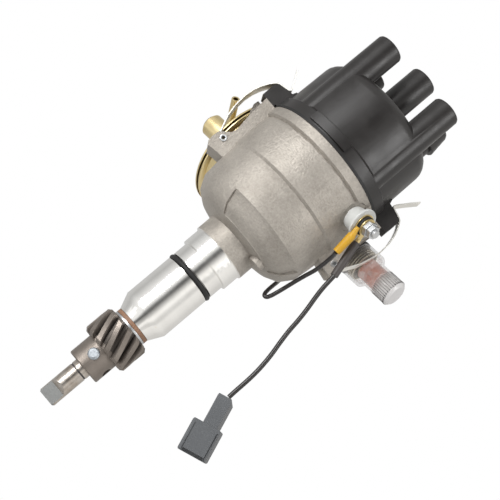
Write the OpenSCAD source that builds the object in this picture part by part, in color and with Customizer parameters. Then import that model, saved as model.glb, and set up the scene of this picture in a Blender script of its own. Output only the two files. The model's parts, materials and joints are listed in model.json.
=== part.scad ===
// Four-cylinder breaker-point ignition distributor, in millimetres.
// +Z runs along the drive shaft towards the cap, and z = 0 is the seat shoulder under the housing.
// The two cap clips lie on the X axis, and the four side towers stand at 45 degrees to them.

/* [Spigot] */
// Diameter of the long spigot that goes into the engine
spigot_d = 27; // [22:0.5:34]
// Length of the spigot below the shoulder
spigot_len = 43.5; // [36:0.5:60]
// Diameter of the spigot's nose
nose_d = 20; // [18:0.5:21]
// Length of the tapered nose
nose_len = 7.4; // [4:0.2:9]
// Thickness of the sealing ring
ring_t = 2.6; // [2:0.1:3]
// How far the sealing ring stands proud of the spigot
ring_proud = 0.5; // [0.2:0.1:0.8]
// Depth of the sealing ring's middle below the shoulder
ring_depth = 8.9; // [6:0.1:14]
// Diameter of the machined collar above the shoulder
collar_d = 29.6; // [28.5:0.1:31]
// Height of the machined collar
collar_h = 9.1; // [6:0.1:12]
// Diameter of the cast neck above the collar
neck_d = 31.4; // [31:0.1:34]

/* [Bowl] */
// Height of the neck's top, where the bowl starts to flare
neck_top = 18.2; // [16:0.2:19]
// Height of the bowl's rim above the shoulder
rim_z = 76.3; // [76:0.1:79]
// Outer diameter of the bowl's lower wall
bowl_low_d = 68.4; // [68:0.2:70]
// How far the bowl's upper wall stands out past the lower wall
bowl_step = 1.5; // [1:0.1:2]
// How far the rim stands out past the upper wall
rim_out = 0.9; // [0.6:0.1:1.4]
// Height of the step between the lower and upper wall
step_z = 49.5; // [46:0.5:52]
// Height of the rim band
rim_h = 5.2; // [4:0.2:7]
// Wall of the bowl above the breaker ledge
wall_up = 2.7; // [2.4:0.1:3]
// Wall of the bowl below the breaker ledge
wall_low = 3; // [2.7:0.1:3.4]
// Height of the bowl's inside floor
floor_z = 24.6; // [24:0.2:26]

/* [Shaft and drive] */
// Diameter of the drive shaft
shaft_d = 10; // [9:0.1:11]
// Distance of the shaft's tip below the shoulder
shaft_reach = 96.5; // [94:0.5:104]
// Length of the flatted tongue at the tip
tongue_len = 8.3; // [6:0.1:9]
// Thickness of the tongue across its flats
tongue_t = 5; // [4:0.1:6.5]
// Number of teeth on the drive gear
gear_teeth = 13; // [10:1:16]
// Outer diameter of the drive gear
gear_d = 27; // [25:0.2:30]
// Depth of a gear tooth
tooth_h = 3.2; // [2.4:0.1:3.8]
// Length of the toothed part
gear_len = 14.4; // [10:0.2:15]
// Helix angle of the teeth, left-handed
helix = 25; // [15:1:32]
// Diameter of the gear's hub
hub_d = 18.8; // [17:0.2:20]
// Length of the gear's hub
hub_len = 12.1; // [10:0.1:13]
// Diameter of the riveted pin through the hub
gear_pin_d = 5.8; // [4:0.1:6.6]
// Diameter of the thrust washers
washer_d = 19.8; // [18:0.2:20]

/* [Advance mechanism] */
// Height of the governor plate's underside
governor_z = 33; // [32.6:0.1:34]
// Outer radius of the governor plate
governor_r = 24; // [23:0.2:25]
// Distance of a weight's pivot from the shaft
pivot_r = 20; // [19:0.1:20.6]
// Distance of a weight's drive pin from its pivot
toe_len = 9; // [8.6:0.1:9.4]
// Thickness of the weights
weight_t = 5; // [4:0.1:5.6]
// Base radius of the cam
cam_r = 8.6; // [8:0.1:9]
// Lift of the four lobes
cam_lift = 0.9; // [0.5:0.05:1.1]
// Height of the cam lobes' underside above the breaker ledge
cam_up = 5; // [4.6:0.1:5.6]
// Height of the cam lobes
cam_h = 9; // [8:0.2:9.4]

/* [Breaker] */
// Height of the stationary plate's underside, on the ledge
ledge_z = 60; // [59.6:0.1:60.4]
// Thickness of each breaker plate
plate_t = 1.5; // [1.2:0.1:1.6]
// Gap between the movable breaker plate and the screws' heads
plate_gap = 1.8; // [1.4:0.1:2.4]
// Distance of the vacuum rod's pin in from the plate's edge
rod_pin_in = 3; // [2.6:0.1:3.5]

/* [Vacuum unit] */
// Turn of the vacuum unit's axis from the X axis
vac_turn = -22.5; // [-26:0.5:-20]
// How deep the vacuum unit's axis lies inside the bowl's outer wall
vac_in = 0.7; // [0:0.1:1.1]
// Height of the vacuum unit's axis above the breaker ledge
vac_up = 3.5; // [3.2:0.1:4]
// Diameter of the can's crimped flange
can_d = 64.4; // [58:0.2:66]
// Distance of the crimped flange from the bowl's outer wall along the unit's axis
can_off = 18.6; // [17.4:0.2:22]
// Depth of the shell that faces the bowl
can_in = 8; // [6:0.2:9]
// Depth of the outer shell
can_out = 9; // [8.6:0.2:11]
// Diameter of the outer shell's boss
boss_d = 13; // [11:0.2:15]
// Length of the outer shell's boss
boss_len = 20.5; // [16:0.5:22]
// Sheet thickness of the can
can_t = 1; // [0.8:0.1:1.2]
// Diameter of the sliding tube
tube_d = 13; // [12:0.1:13.6]
// Travel of the diaphragm
vac_travel = 4; // [3:0.1:4.4]

/* [Selector] */
// Gap between the bowl's tunnel and the clear cap
knob_gap = 3.4; // [3:0.1:6]
// Diameter of the clear cap's wide part
knob_d = 19.4; // [18:0.1:19.6]
// Length of the clear cap's wide part
knob_wide = 13; // [11:0.2:15]
// Diameter of the clear cap's narrow part
knob_slim_d = 14; // [13.4:0.1:14.6]
// Length of the clear cap's narrow part
knob_slim = 16; // [12:0.2:18]
// Wall of the clear cap
knob_wall = 1.2; // [1:0.1:1.4]

/* [Cap] */
// How far the cap's flange stands out past the bowl's rim
flange_out = 0; // [0:0.1:0.6]
// Height of the cap's flange
flange_h = 7; // [5:0.2:7.4]
// How far the dome's wall stands in from the flange's edge
dome_in = 1.7; // [1.3:0.1:2.1]
// Height of the dome's top above the shoulder
dome_z = 115.5; // [114:0.5:118]
// Rounding of the dome's top edge
dome_round = 7; // [5:0.5:8]
// Wall of the cap
cap_wall = 3.4; // [3:0.1:3.8]
// Outer diameter of the towers
tower_d = 15.3; // [14.4:0.1:15.6]
// Distance of the side towers' axes in from the dome's wall
tower_in = 6.1; // [5.9:0.1:6.7]
// Height of the side towers' tops above the shoulder
tower_z = 136; // [132:0.5:140]
// Height of the back right tower's top, which has a collar
rear_tower_z = 142; // [138:0.5:146]
// Height of the centre tower's top above the shoulder
centre_z = 146; // [143:0.5:150]
// Bore of the towers, where a lead's end goes in
socket_d = 8.2; // [7.6:0.1:8.6]
// Depth of that bore
socket_len = 20; // [16:0.5:22]

/* [Clips] */
// Distance of a clip's hinge pin from the bowl's upper wall
clip_off = 4.7; // [4.5:0.1:5.3]
// Distance of a clip's hinge pin below the rim
clip_down = 29.4; // [28.3:0.1:29.9]
// Width of the clip's strip
clip_w = 8.6; // [7.6:0.2:10]
// Thickness of the clip's strip
clip_t = 0.6; // [0.5:0.05:0.8]
// Diameter of the clip's hinge pin
clip_pin_d = 3.6; // [3:0.1:3.8]

/* [Leads] */
// Diameter of the primary lead
lead_d = 2.3; // [1.8:0.1:2.6]
// Diameter of the condenser's lead
cond_lead_d = 2.1; // [1.8:0.1:2.4]
// Diameter of the condenser
cond_d = 17; // [15:0.2:18]
// Length of the condenser
cond_len = 22.5; // [20:0.5:23]

/* [Hidden] */
$fn = 64;
// Radial gap between parts that turn or slide on each other
run_gap = 0.04;
// Radial gap between parts that are pressed or screwed together
seat_gap = 0.02;
// Free space between faces that only stand near each other
face_gap = 0.1;
// A cut runs this far past the face that it opens
past = 1;
e_cast = "#b3aca3";
e_turned = "#d9d9d6";
e_steel = "#8d8a86";
e_dark = "#5b5650";
e_zinc = "#d4d5d3";
e_gold = "#cdb26a";
e_brass = "#c9a856";
e_black = "#262527";
e_rubber = "#1b1b1c";

bowl_up_d = bowl_low_d + 2 * bowl_step;
rim_d = bowl_up_d + 2 * rim_out;
cavity_d = bowl_low_d - 2 * wall_low;
cavity_up_d = bowl_up_d - 2 * wall_up;
bowl_low_r = bowl_low_d / 2;
cavity_r = cavity_d / 2;
cam_z = ledge_z + cam_up;
vac_off = bowl_up_d / 2 - vac_in;
vac_z = ledge_z + vac_up;
can_at = bowl_up_d / 2 + can_off;
clip_r = bowl_up_d / 2 + clip_off;
clip_z = rim_z - clip_down;
cap_d = rim_d + 2 * flange_out;
dome_d = cap_d - 2 * dome_in;
tower_r = dome_d / 2 - tower_in;
shaft_r = shaft_d / 2;
bush_r = shaft_r + 2;
spindle_r = 4;
gear_top = -spigot_len - 4.5;
hub_top = gear_top - gear_len;
hub_low = hub_top - hub_len;
pin_z = hub_top - 4.4;
gear_pin_turn = -94.5;
ring_r = spigot_d / 2 + ring_proud - ring_t / 2;
governor_top = governor_z + 1.6;
weight_z = governor_top + 0.4;
weight_top = weight_z + weight_t;
cam_plate_z = weight_top + 0.4;
cam_plate_t = 1.6;
cam_bore_r = spindle_r + run_gap;
sleeve_r = 7;
cam_top = cam_z + cam_h;
nose_z = 84;
ledge_top = ledge_z + plate_t;
plate_z = ledge_top + 0.6;
plate_top = plate_z + plate_t;
collar_r = 13.6;
advance_toe = pivot_r - toe_len;
toe_r = 1.5;
pivot_pin_r = 2.2;
rod_r = 1.5;
rod_pin_pin_r = 1.5;
plate_screw_r = cavity_r - 1.8;
screw_head_r = 2.6;
plate_r = plate_screw_r - screw_head_r - plate_gap;
rod_pin_r = plate_r - rod_pin_in;
// The plate's pin stands half its swing before the line to the unit's axis
plate_swing = 2 * asin(vac_travel / 2 / rod_pin_r);
tube_r = tube_d / 2;
tube_bore_r = 3.6;
tunnel_r = 9.6;
tunnel_left = -bowl_low_r - 3.8;
tunnel_right = bowl_low_r - 3.6;
knob_at = tunnel_right + knob_gap;
can_r = can_d / 2;
tail_r = 5;
knob_end = knob_at + knob_wide + knob_slim;
cap_z = rim_z + 1.4;
dome_r = dome_d / 2;
dome_in_r = dome_r - cap_wall;
dome_in_z = dome_z - 4;
tower_rad = tower_d / 2;
electrode_z = rim_z + 16.7;
blade_z = rim_z + 19.7;
rotor_z = rim_z + 0.1;
brush_r = 2.4;
terminal_turn = -33.6;
terminal_z = ledge_z + 6;
lug_w = 11;
lug_out = clip_r + 5;
lug_low = rim_z + 0.5;
rib_w = clip_w + 7.8;
slot_w = clip_w + 1.2;
cond_r = cond_d / 2;
slot_r = clip_r - clip_pin_d / 2 - run_gap - clip_t - 0.5;
pad_turn = 96;
pad_z = 44;
pad_r = bowl_low_r + 4.8;
plate_screw_turns = [110, 290];
spindle_top = 76;
spring_post = [15, -9];
spring_hook = [7.2, -6.2];
nipple_at = -can_at - can_out - 6.3;
nipple_lift = 27.5;
nipple_len = 27.4;
nipple_r = 2.2;
connector_at = [55, -19.4, -34.2];
connector_tilt = 20.3;
plug_back_len = 14.8;
plug_mouth_len = 15.7;
brush_z = blade_z + 1.05;
brush_len = 13;
rod_pin_s = rod_pin_r * sin(plate_swing / 2);
rod_pin_w = rod_pin_r * cos(plate_swing / 2);
tail_end = knob_at + 12.4;
// Faces of the pieces on the terminal's bolt, measured from the shaft's axis
insulator_at = bowl_up_d / 2 + 0.95;
bolt_head_at = cavity_up_d / 2 - 4.2;
insulator_top = insulator_at + 6.6;
tag_a_at = insulator_top + 0.05;
tag_t = 0.7;
washer_at = tag_a_at + tag_t + 0.05;
washer_t = 1.3;
tag_b_at = washer_at + washer_t + 0.05;
nut_at = tag_b_at + tag_t + 0.05;
nut_h = 2.4;
// Ends of the leads' sleeves: how far out, how far down and how far to the side
yellow_end = [insulator_at + 9.35, 4.2, -5.2];
yellow_wide = [insulator_at + 9.35, 8.3, -3.5];
shrink_end = [insulator_at + 8.85, 7.8, 3.67];
sleeve_top = terminal_point(yellow_end);
sleeve_wide = terminal_point(yellow_wide);
sleeve_low = [37.4, -25.9, 47.2];
shrink_top = terminal_point(shrink_end);
shrink_low = [45, -23.2, 39.5];
contact_h = 1.2;
// Gap between the condenser and the bowl's lower wall
cond_gap = 0.7;
cond_at = [13, bowl_low_r + cond_gap + cond_r];
cond_z = 30;

// The primary lead's route, from the shrink sleeve to the connector
lead_route = [[45, -23.2, 39.5], [45.3, -22.9, 36.5], [45.9, -22.3, 31.5], [47, -21.6, 26], [48.4, -21, 20],
    [49.6, -20.5, 13.5], [50.5, -20, 7], [51.8, -19.7, 0.5], [53.3, -19.5, -6], [54.3, -19.4, -12],
    [54.9, -19.4, -18], [55.1, -19.4, -24], [55.1, -19.4, -29.5], [55.2, -19.4, -33.6]];
// The condenser's lead, from the yellow sleeve round the bowl to the condenser
cond_route = [[37.4, -25.9, 47.2], [37.6, -22, 45.8], [37.5, -18, 43.4], [37.3, -14.5, 40.2], [36.8, -11, 37],
    [35.7, -7, 33.2], [34.6, -4, 28.6], [33.7, -1, 24.4], [32.9, 0.4, 20.2], [32.3, 0.8, 17.2],
    [31.7, 0.8, 14.8], [30.9, 0.8, 13.2], [29.9, 1.2, 12.9], [29.1, 2.2, 14], [28.7, 4.4, 16],
    [28.4, 8.4, 19.6], [28.3, 12, 22.8], [28.1, 16.5, 25.6], [27.7, 20.7, 28], [26.4, 25.2, 29.4],
    [24, 30, 29.8], [20.8, 34.9, 29], [17.8, 38.8, 27.6], [15.4, 41.5, 27], [13.8, 42.9, 27.9],
    [13.1, 43.4, 29.4]];

// Places a child on the vacuum unit's axis, with the child's +Z along the axis towards the selector
module along_vac(s = 0) {
    rotate([0, 0, vac_turn]) translate([s, vac_off, vac_z]) rotate([0, 90, 0]) children();
}

// Places a child at a hinge side: 1 is the +X side and -1 the -X side
module at_side(side) {
    rotate([0, 0, side > 0 ? 0 : 180]) children();
}

// Places a child on the axis of the condenser's screw pad, with the child's +Z outwards
module along_pad(r = 0) {
    rotate([0, 0, pad_turn]) translate([r, 0, pad_z]) rotate([0, 90, 0]) children();
}

// Straight round rod between two points
module rod_between(a, b, r_a, r_b) {
    v = b - a;
    translate(a) rotate([0, acos(v[2] / norm(v)), atan2(v[1], v[0])]) cylinder(r1 = r_a, r2 = r_b, h = norm(v));
}

// Places a child in the connector's mouth direction: +Z from its back to its mouth
module along_connector(at = 0) {
    translate(connector_at) rotate([0, 180 - connector_tilt, 0]) translate([0, 0, at]) children();
}

// Point seen from the terminal's foot: how far out, how far down and how far to the side
function terminal_point(v) = [v[0] * cos(terminal_turn) - v[2] * sin(terminal_turn),
    v[0] * sin(terminal_turn) + v[2] * cos(terminal_turn), terminal_z - v[1]];

// Places a child on the terminal's axis, with the child's +Z outwards
module along_terminal(r = 0) {
    rotate([0, 0, terminal_turn]) translate([r, 0, terminal_z]) rotate([0, 90, 0]) children();
}

module ring(r_out, r_in, h) {
    difference() {
        cylinder(r = r_out, h = h);
        translate([0, 0, -past]) cylinder(r = r_in, h = h + 2 * past);
    }
}

module hexagon(across, h) {
    cylinder(d = across / cos(30), h = h, $fn = 6);
}

// Plan of a curved weight round the shaft, from its pivot to its tip
module weight_plan() {
    difference() {
        union() {
            intersection() {
                circle(r = governor_r - 0.6);
                polygon([[0, 0], [60, 0], [60, 60], [0, 60], [-26, 40]]);
            }
            translate([pivot_r, 0]) circle(r = 3.4);
            translate([advance_toe, 0]) circle(r = 2.4);
            translate([advance_toe, -1.6]) square([toe_len, 5]);
        }
        circle(r = sleeve_r + 1.8);
        translate([-6, -6]) circle(r = 13.6);
    }
}

module weight(side) {
    color(e_steel) at_side(side) {
        difference() {
            translate([0, 0, weight_z]) linear_extrude(weight_t) weight_plan();
            translate([pivot_r, 0, weight_z - past]) cylinder(r = pivot_pin_r + run_gap, h = weight_t + 2 * past);
        }
        translate([advance_toe, 0, weight_top]) cylinder(r = toe_r, h = cam_plate_t + 0.8);
    }
}

// Tube swept along a list of points
function unit(v) = v / norm(v);
function tangent(p, i) = unit(p[min(i + 1, len(p) - 1)] - p[max(i - 1, 0)]);
function side_of(t) = unit(cross(t, abs(t[1]) > 0.95 ? [1, 0, 0] : [0, 1, 0]));
function swept_ring(p, i, r, n) = let (t = tangent(p, i), a = side_of(t), b = cross(t, a))
    [for (k = [0 : n - 1]) p[i] + r * (cos(k * 360 / n) * a + sin(k * 360 / n) * b)];
module cord(route, d, n = 8) {
    m = len(route);
    polyhedron(
        points = [for (i = [0 : m - 1]) each swept_ring(route, i, d / 2, n)],
        faces = concat(
            [[for (k = [0 : n - 1]) k]],
            [for (i = [0 : m - 2], k = [0 : n - 1]) let (j = (k + 1) % n)
                each [[i * n + k, (i + 1) * n + k, (i + 1) * n + j], [i * n + k, (i + 1) * n + j, i * n + j]]],
            [[for (k = [0 : n - 1]) m * n - 1 - k]]));
}

// Outer profile of the housing, from the spigot's nose to the rim
housing_outer = [
    [0, -spigot_len], [nose_d / 2, -spigot_len], [spigot_d / 2, -spigot_len + nose_len],
    [spigot_d / 2, 0], [collar_d / 2, 0.4], [collar_d / 2, collar_h], [neck_d / 2, collar_h + 0.3],
    [neck_d / 2, neck_top], [bowl_low_r - 9.6, neck_top + 2.2], [bowl_low_r - 4.5, neck_top + 5.2],
    [bowl_low_r - 0.9, neck_top + 11], [bowl_low_r, neck_top + 19], [bowl_low_r + 0.8, step_z - 0.6],
    [bowl_up_d / 2, step_z + 0.6],
    [bowl_up_d / 2 + 0.4, rim_z - rim_h - 1.6], [rim_d / 2 - 0.9, rim_z - rim_h - 0.6],
    [rim_d / 2, rim_z - rim_h + 0.3], [rim_d / 2, rim_z], [0, rim_z]];
housing_inner = [
    [0, floor_z], [cavity_r - 8.7, floor_z], [cavity_r - 4.2, floor_z + 2.6], [cavity_r - 1.3, floor_z + 6.4],
    [cavity_r, floor_z + 11.4], [cavity_r, ledge_z],
    [cavity_up_d / 2, ledge_z], [cavity_up_d / 2, rim_z + past], [0, rim_z + past]];

// Profile of the shallow recess in the flare on the front side
relief_profile = [[bowl_low_r - 11.4, neck_top + 1.4], [bowl_low_r - 10.8, neck_top + 2.4],
    [bowl_low_r - 5.8, neck_top + 5.4], [bowl_low_r - 2.3, neck_top + 11], [bowl_low_r - 0.6, neck_top + 12.6],
    [bowl_low_r + 5.8, neck_top + 12.6], [bowl_low_r + 5.8, neck_top + 1.4]];

// Profile of a clip rib in the plane of the clip
function rib_profile(low) = [
    [clip_r - 7.8, low + 1.6], [clip_r + 2.4, low], [clip_r + 3.8, low + 1.6], [clip_r + 4.2, clip_z - 2.9],
    [clip_r + 4, clip_z + 0.5], [clip_r + 1, clip_z + 3.7], [clip_r - 0.5, clip_z + 5.1],
    [clip_r - 0.9, clip_z + 8.6], [clip_r, clip_z + 13.1], [clip_r + 0.8, rim_z - 10.3],
    [clip_r + 1.3, rim_z - 5.3], [clip_r + 1.6, rim_z - 1.5], [clip_r + 1.6, rim_z - 0.2],
    [clip_r - 7.8, rim_z - 0.2]];

// Profile of the guard beside the left clip
guard_profile = [
    [clip_r - 4.4, rim_z - 11.7], [clip_r + 0.6, rim_z - 11.7], [clip_r + 3, rim_z - 8.7],
    [clip_r + 4.4, rim_z - 6.7], [clip_r + 5.8, rim_z - 3.3], [clip_r + 5.6, rim_z - 0.6],
    [clip_r - 4.4, rim_z - 0.6]];

module housing() {
    color(e_cast) difference() {
        union() {
            difference() {
                union() {
                    rotate_extrude($fn = 128) polygon(housing_outer);
                    for (side = [1, -1]) at_side(side) translate([0, rib_w / 2, 0]) rotate([90, 0, 0])
                        linear_extrude(rib_w) polygon(rib_profile(clip_z - (side > 0 ? 5.7 : 7.9)));
                    // Guard beside the left clip
                    at_side(-1) translate([0, 3.2 - rib_w / 2, 0]) rotate([90, 0, 0])
                        linear_extrude(3.2) polygon(guard_profile);
                    along_vac(tunnel_left) cylinder(r = tunnel_r, h = tunnel_right - tunnel_left);
                    // Boss for the terminal
                    along_terminal(cavity_up_d / 2 - 3) cylinder(r = 7.9, h = insulator_at - cavity_up_d / 2 + 2.95);
                    // Small boss under the bowl
                    translate([16.2, -10.6, neck_top - 1.2]) cylinder(r = 4, h = 9);
                    // Pad for the condenser's screw
                    along_pad(pad_r - 9) cylinder(r = 5, h = 9);
                }
                rotate_extrude($fn = 128) polygon(housing_inner);
                intersection() {
                    rotate_extrude($fn = 128) polygon(relief_profile);
                    rotate([0, 0, -116]) linear_extrude(step_z)
                        polygon(bowl_low_d * [[0, 0], [1, 0], [1, 1], [0, 1], [-1 / 6, 1]]);
                }
            }
            // Bosses inside the bowl for the stationary plate's screws
            for (turn = plate_screw_turns) rotate([0, 0, turn]) intersection() {
                translate([plate_screw_r, 0, ledge_z - 9]) cylinder(r = 3.4, h = 9);
                cylinder(r = cavity_r + 0.5, h = ledge_z);
            }
        }
        // Bores for the shaft and its two bushes
        translate([0, 0, -spigot_len - past]) cylinder(r = bush_r, h = floor_z + spigot_len + 2 * past);
        // Groove for the sealing ring
        translate([0, 0, -ring_depth - ring_t / 2 - 0.3])
            ring(spigot_d / 2 + past, ring_r - ring_t / 2 - seat_gap, ring_t + 0.6);
        // Bore for the vacuum unit's tube
        along_vac(tunnel_left - past)
            cylinder(r = tube_r + run_gap, h = tunnel_right - tunnel_left + 2 * past);
        // Slots that the clips swing in, and the holes of their pins
        for (side = [1, -1]) at_side(side) {
            translate([slot_r, -slot_w / 2, clip_z - 6.1]) cube([20, slot_w, rim_z - clip_z + 7.1]);
            translate([clip_r, -rib_w / 2 - past, clip_z]) rotate([-90, 0, 0])
                cylinder(d = clip_pin_d + 2 * seat_gap, h = rib_w + 2 * past);
        }
        // Hole for the terminal's insulator
        along_terminal(bolt_head_at - 0.8) cylinder(r = 4.2, h = 12);
        // Blind hole for the condenser's screw
        along_pad(pad_r - 5.6) cylinder(r = 2 + seat_gap, h = 8);
        // Holes for the stationary plate's screws
        for (turn = plate_screw_turns) rotate([0, 0, turn])
            translate([plate_screw_r, 0, ledge_z - 5]) cylinder(r = 1.5 + seat_gap, h = 6);
    }
}

module bush(z_low, h) {
    color(e_brass) translate([0, 0, z_low]) ring(bush_r - seat_gap, shaft_r + run_gap, h);
}
module upper_bush() bush(floor_z - 22, 22);
module lower_bush() bush(-spigot_len, 22);

module sealing_ring() {
    color(e_rubber) translate([0, 0, -ring_depth]) rotate_extrude() translate([ring_r, 0]) circle(d = ring_t, $fn = 32);
}

module shaft() {
    tip = -shaft_reach;
    color(e_steel) difference() {
        union() {
            translate([0, 0, tip]) cylinder(r1 = shaft_r - 0.8, r2 = shaft_r, h = 0.8);
            translate([0, 0, tip + 0.8]) cylinder(r = shaft_r, h = governor_z + shaft_reach - 0.8);
            translate([0, 0, governor_z]) cylinder(r = spindle_r, h = spindle_top - governor_z);
        }
        // Flats of the tongue, with sloped shoulders
        for (side = [1, -1]) scale([1, side, 1]) translate([-shaft_r - past, 0, tip]) rotate([90, 0, 90])
            linear_extrude(shaft_d + 2 * past)
                polygon([[tongue_t / 2, -past], [tongue_t / 2, tongue_len - 1.2], [shaft_r + 0.2, tongue_len + 1.4],
                    [shaft_r + past, tongue_len + 1.4], [shaft_r + past, -past]]);
        // Turned groove above the tongue
        translate([0, 0, hub_low - 3.2]) ring(shaft_r + past, shaft_r - 0.25, 0.8);
        // Hole for the gear's pin
        rotate([0, 0, gear_pin_turn]) translate([-shaft_d, 0, pin_z]) rotate([0, 90, 0])
            cylinder(r = gear_pin_d / 2 + seat_gap, h = 2 * shaft_d);
        // Tapped hole for the cam's screw
        translate([0, 0, spindle_top - 9]) cylinder(r = 1.5 + seat_gap, h = 10);
    }
}

// Outline of the gear's teeth, one trapezoid tooth per pitch
module gear_plan() {
    root_r = gear_d / 2 - tooth_h;
    gear_phase = 0.25;
    pitch = 360 / gear_teeth;
    polygon([for (i = [0 : gear_teeth - 1]) for (c = [[root_r, -0.42], [root_r, -0.35], [gear_d / 2 - 0.5, -0.24],
        [gear_d / 2, -0.19], [gear_d / 2, 0.19], [gear_d / 2 - 0.5, 0.24], [root_r, 0.35], [root_r, 0.42]])
        c[0] * [cos((i + c[1] + gear_phase) * pitch), sin((i + c[1] + gear_phase) * pitch)]]);
}

module drive_gear() {
    turn = gear_len * tan(helix) / (gear_d / 2 - tooth_h / 2) * 180 / PI;
    color(e_dark) difference() {
        union() {
            intersection() {
                translate([0, 0, hub_top]) linear_extrude(gear_len, twist = turn, slices = 8) gear_plan();
                translate([0, 0, hub_top]) cylinder(r1 = gear_d / 2 - 1.4, r2 = gear_d / 2 + gear_len, h = gear_len);
                translate([0, 0, hub_top]) cylinder(r1 = gear_d / 2 + gear_len, r2 = gear_d / 2 - 1.4, h = gear_len);
            }
            translate([0, 0, hub_low]) cylinder(r1 = hub_d / 2 - 0.5, r2 = hub_d / 2, h = 0.5);
            translate([0, 0, hub_low + 0.5]) cylinder(r = hub_d / 2, h = hub_len - 0.5);
        }
        translate([0, 0, hub_low - past]) cylinder(r = shaft_r + seat_gap, h = gear_len + hub_len + 2 * past);
        rotate([0, 0, gear_pin_turn]) translate([-hub_d, 0, pin_z]) rotate([0, 90, 0])
            cylinder(r = gear_pin_d / 2 + seat_gap, h = 2 * hub_d);
        // Second cross hole, left open
        rotate([0, 0, -9]) translate([shaft_r + 0.4, 0, pin_z - 1]) rotate([0, 90, 0]) cylinder(r = 2.4, h = hub_d);
    }
}

module gear_pin() {
    color(e_zinc) rotate([0, 0, gear_pin_turn]) translate([0, 0, pin_z]) rotate([0, 90, 0]) {
        translate([0, 0, -hub_d / 2 - 0.2]) cylinder(r = gear_pin_d / 2, h = hub_d + 0.4);
        for (side = [0, 1]) mirror([0, 0, side]) translate([0, 0, hub_d / 2 + 0.2])
            cylinder(r1 = gear_pin_d / 2, r2 = gear_pin_d / 2 - 0.8, h = 0.7);
    }
}

module steel_washers() {
    color(e_zinc) for (z = [gear_top + face_gap / 2, gear_top + 1.25])
        translate([0, 0, z]) ring(washer_d / 2, shaft_r + seat_gap, 1.15);
}

module fibre_washer() {
    color("#6b5138") translate([0, 0, -spigot_len - 2.05]) ring(washer_d / 2, shaft_r + 0.1, 1.95);
}

module governor_plate() {
    color(e_steel) {
        difference() {
            union() {
                translate([0, 0, governor_z]) intersection() {
                    cylinder(r = governor_r, h = 1.6);
                    translate([-governor_r - past, -13, 0]) cube([2 * (governor_r + past), 26, 1.6]);
                }
                translate([0, 0, floor_z + 0.6]) cylinder(r = 8.6, h = governor_z - floor_z - 0.6);
            }
            translate([0, 0, floor_z]) cylinder(r = shaft_r + seat_gap, h = governor_z - floor_z);
            translate([0, 0, governor_z - past]) cylinder(r = spindle_r + seat_gap, h = 4);
        }
        for (side = [1, -1]) at_side(side) {
            translate([pivot_r, 0, governor_top]) cylinder(r = pivot_pin_r, h = weight_t + 1.2);
            translate([spring_post[0], spring_post[1], governor_top]) cylinder(r = 1, h = weight_t + 1.2);
        }
    }
}

module weight_a() weight(1);
module weight_b() weight(-1);

module weight_springs() {
    run = spring_hook - spring_post;
    color(e_zinc) for (side = [1, -1]) at_side(side)
        translate([spring_post[0], spring_post[1], cam_plate_z - 2.6]) rotate([0, 0, atan2(run[1], run[0])])
            translate([1.1, 0, 0]) rotate([0, 90, 0]) ring(1.2, 0.7, norm(run) - 2.1);
}

module cam() {
    color(e_steel) difference() {
        union() {
            // Slotted drive plate
            translate([0, 0, cam_plate_z]) linear_extrude(cam_plate_t) difference() {
                union() {
                    circle(r = sleeve_r + 3.2);
                    for (side = [1, -1]) rotate(side > 0 ? 0 : 180) {
                        translate([0, -4.2]) square([advance_toe + 3.6, 8.4]);
                    }
                }
                for (side = [1, -1]) rotate(side > 0 ? 0 : 180)
                    translate([advance_toe - 1.9, -toe_r - 0.15]) square([8, 2 * toe_r + 0.3]);
            }
            translate([0, 0, cam_plate_z]) cylinder(r = sleeve_r, h = nose_z - cam_plate_z);
            // Four lobes: a square with rounded corners
            translate([0, 0, cam_z]) intersection() {
                cylinder(r = cam_r + cam_lift, h = cam_h);
                linear_extrude(cam_h) rotate(22.5) square(2 * cam_r - 0.6, center = true);
            }
        }
        translate([0, 0, cam_plate_z - past]) cylinder(r = cam_bore_r, h = spindle_top + 0.3 - cam_plate_z + past);
        translate([0, 0, spindle_top - past]) cylinder(r = 2.6, h = 4);
        translate([0, 0, spindle_top + 1.4]) cylinder(r = 4.4, h = 10);
        // Key flat for the rotor
        translate([sleeve_r - 1.4, -10, cam_top + 1.2]) cube([4, 20, 20]);
    }
    // Posts under the drive plate that hold the weight springs
    color(e_steel) for (side = [1, -1]) at_side(side)
        translate([spring_hook[0], spring_hook[1], cam_plate_z - 3.6]) cylinder(r = 0.8, h = 4);
}

module cam_screw() {
    color(e_zinc) {
        translate([0, 0, spindle_top - 8]) cylinder(r = 1.5, h = 8.1);
        translate([0, 0, spindle_top]) cylinder(r = 2.5, h = 1.6);
        difference() {
            translate([0, 0, spindle_top + 1.6]) cylinder(r = 3.8, h = 2.4);
            translate([-4, -0.4, spindle_top + 3.2]) cube([8, 0.8, 2]);
        }
    }
}

module rotor() {
    color(e_black) difference() {
        union() {
            translate([0, 0, rotor_z]) cylinder(r = 11.5, h = 12);
            translate([0, 0, rotor_z + 12]) cylinder(r1 = 11.5, r2 = 8, h = blade_z - rotor_z - 12);
            translate([0, -4.2, rotor_z + 13]) cube([22, 8.4, blade_z - rotor_z - 13]);
            translate([-15, -5, rotor_z + 12.6]) cube([15, 10, blade_z - rotor_z - 12.6]);
        }
        difference() {
            translate([0, 0, rotor_z - past]) cylinder(r = sleeve_r + seat_gap, h = nose_z - rotor_z + past + 0.2);
            translate([sleeve_r - 1.4 + 0.05, -10, cam_top + 1.5]) cube([4, 20, 20]);
        }
    }
}

module rotor_blade() {
    color(e_brass) translate([0, 0, blade_z]) {
        translate([-4, -2.6, 0]) cube([4 + 21, 5.2, 0.8]);
        intersection() {
            translate([20, -4.2, 0]) cube([8, 8.4, 1.6]);
            cylinder(r = tower_r - 3.2, h = 1.6);
        }
        cylinder(r = 4, h = 1);
    }
}

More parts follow.
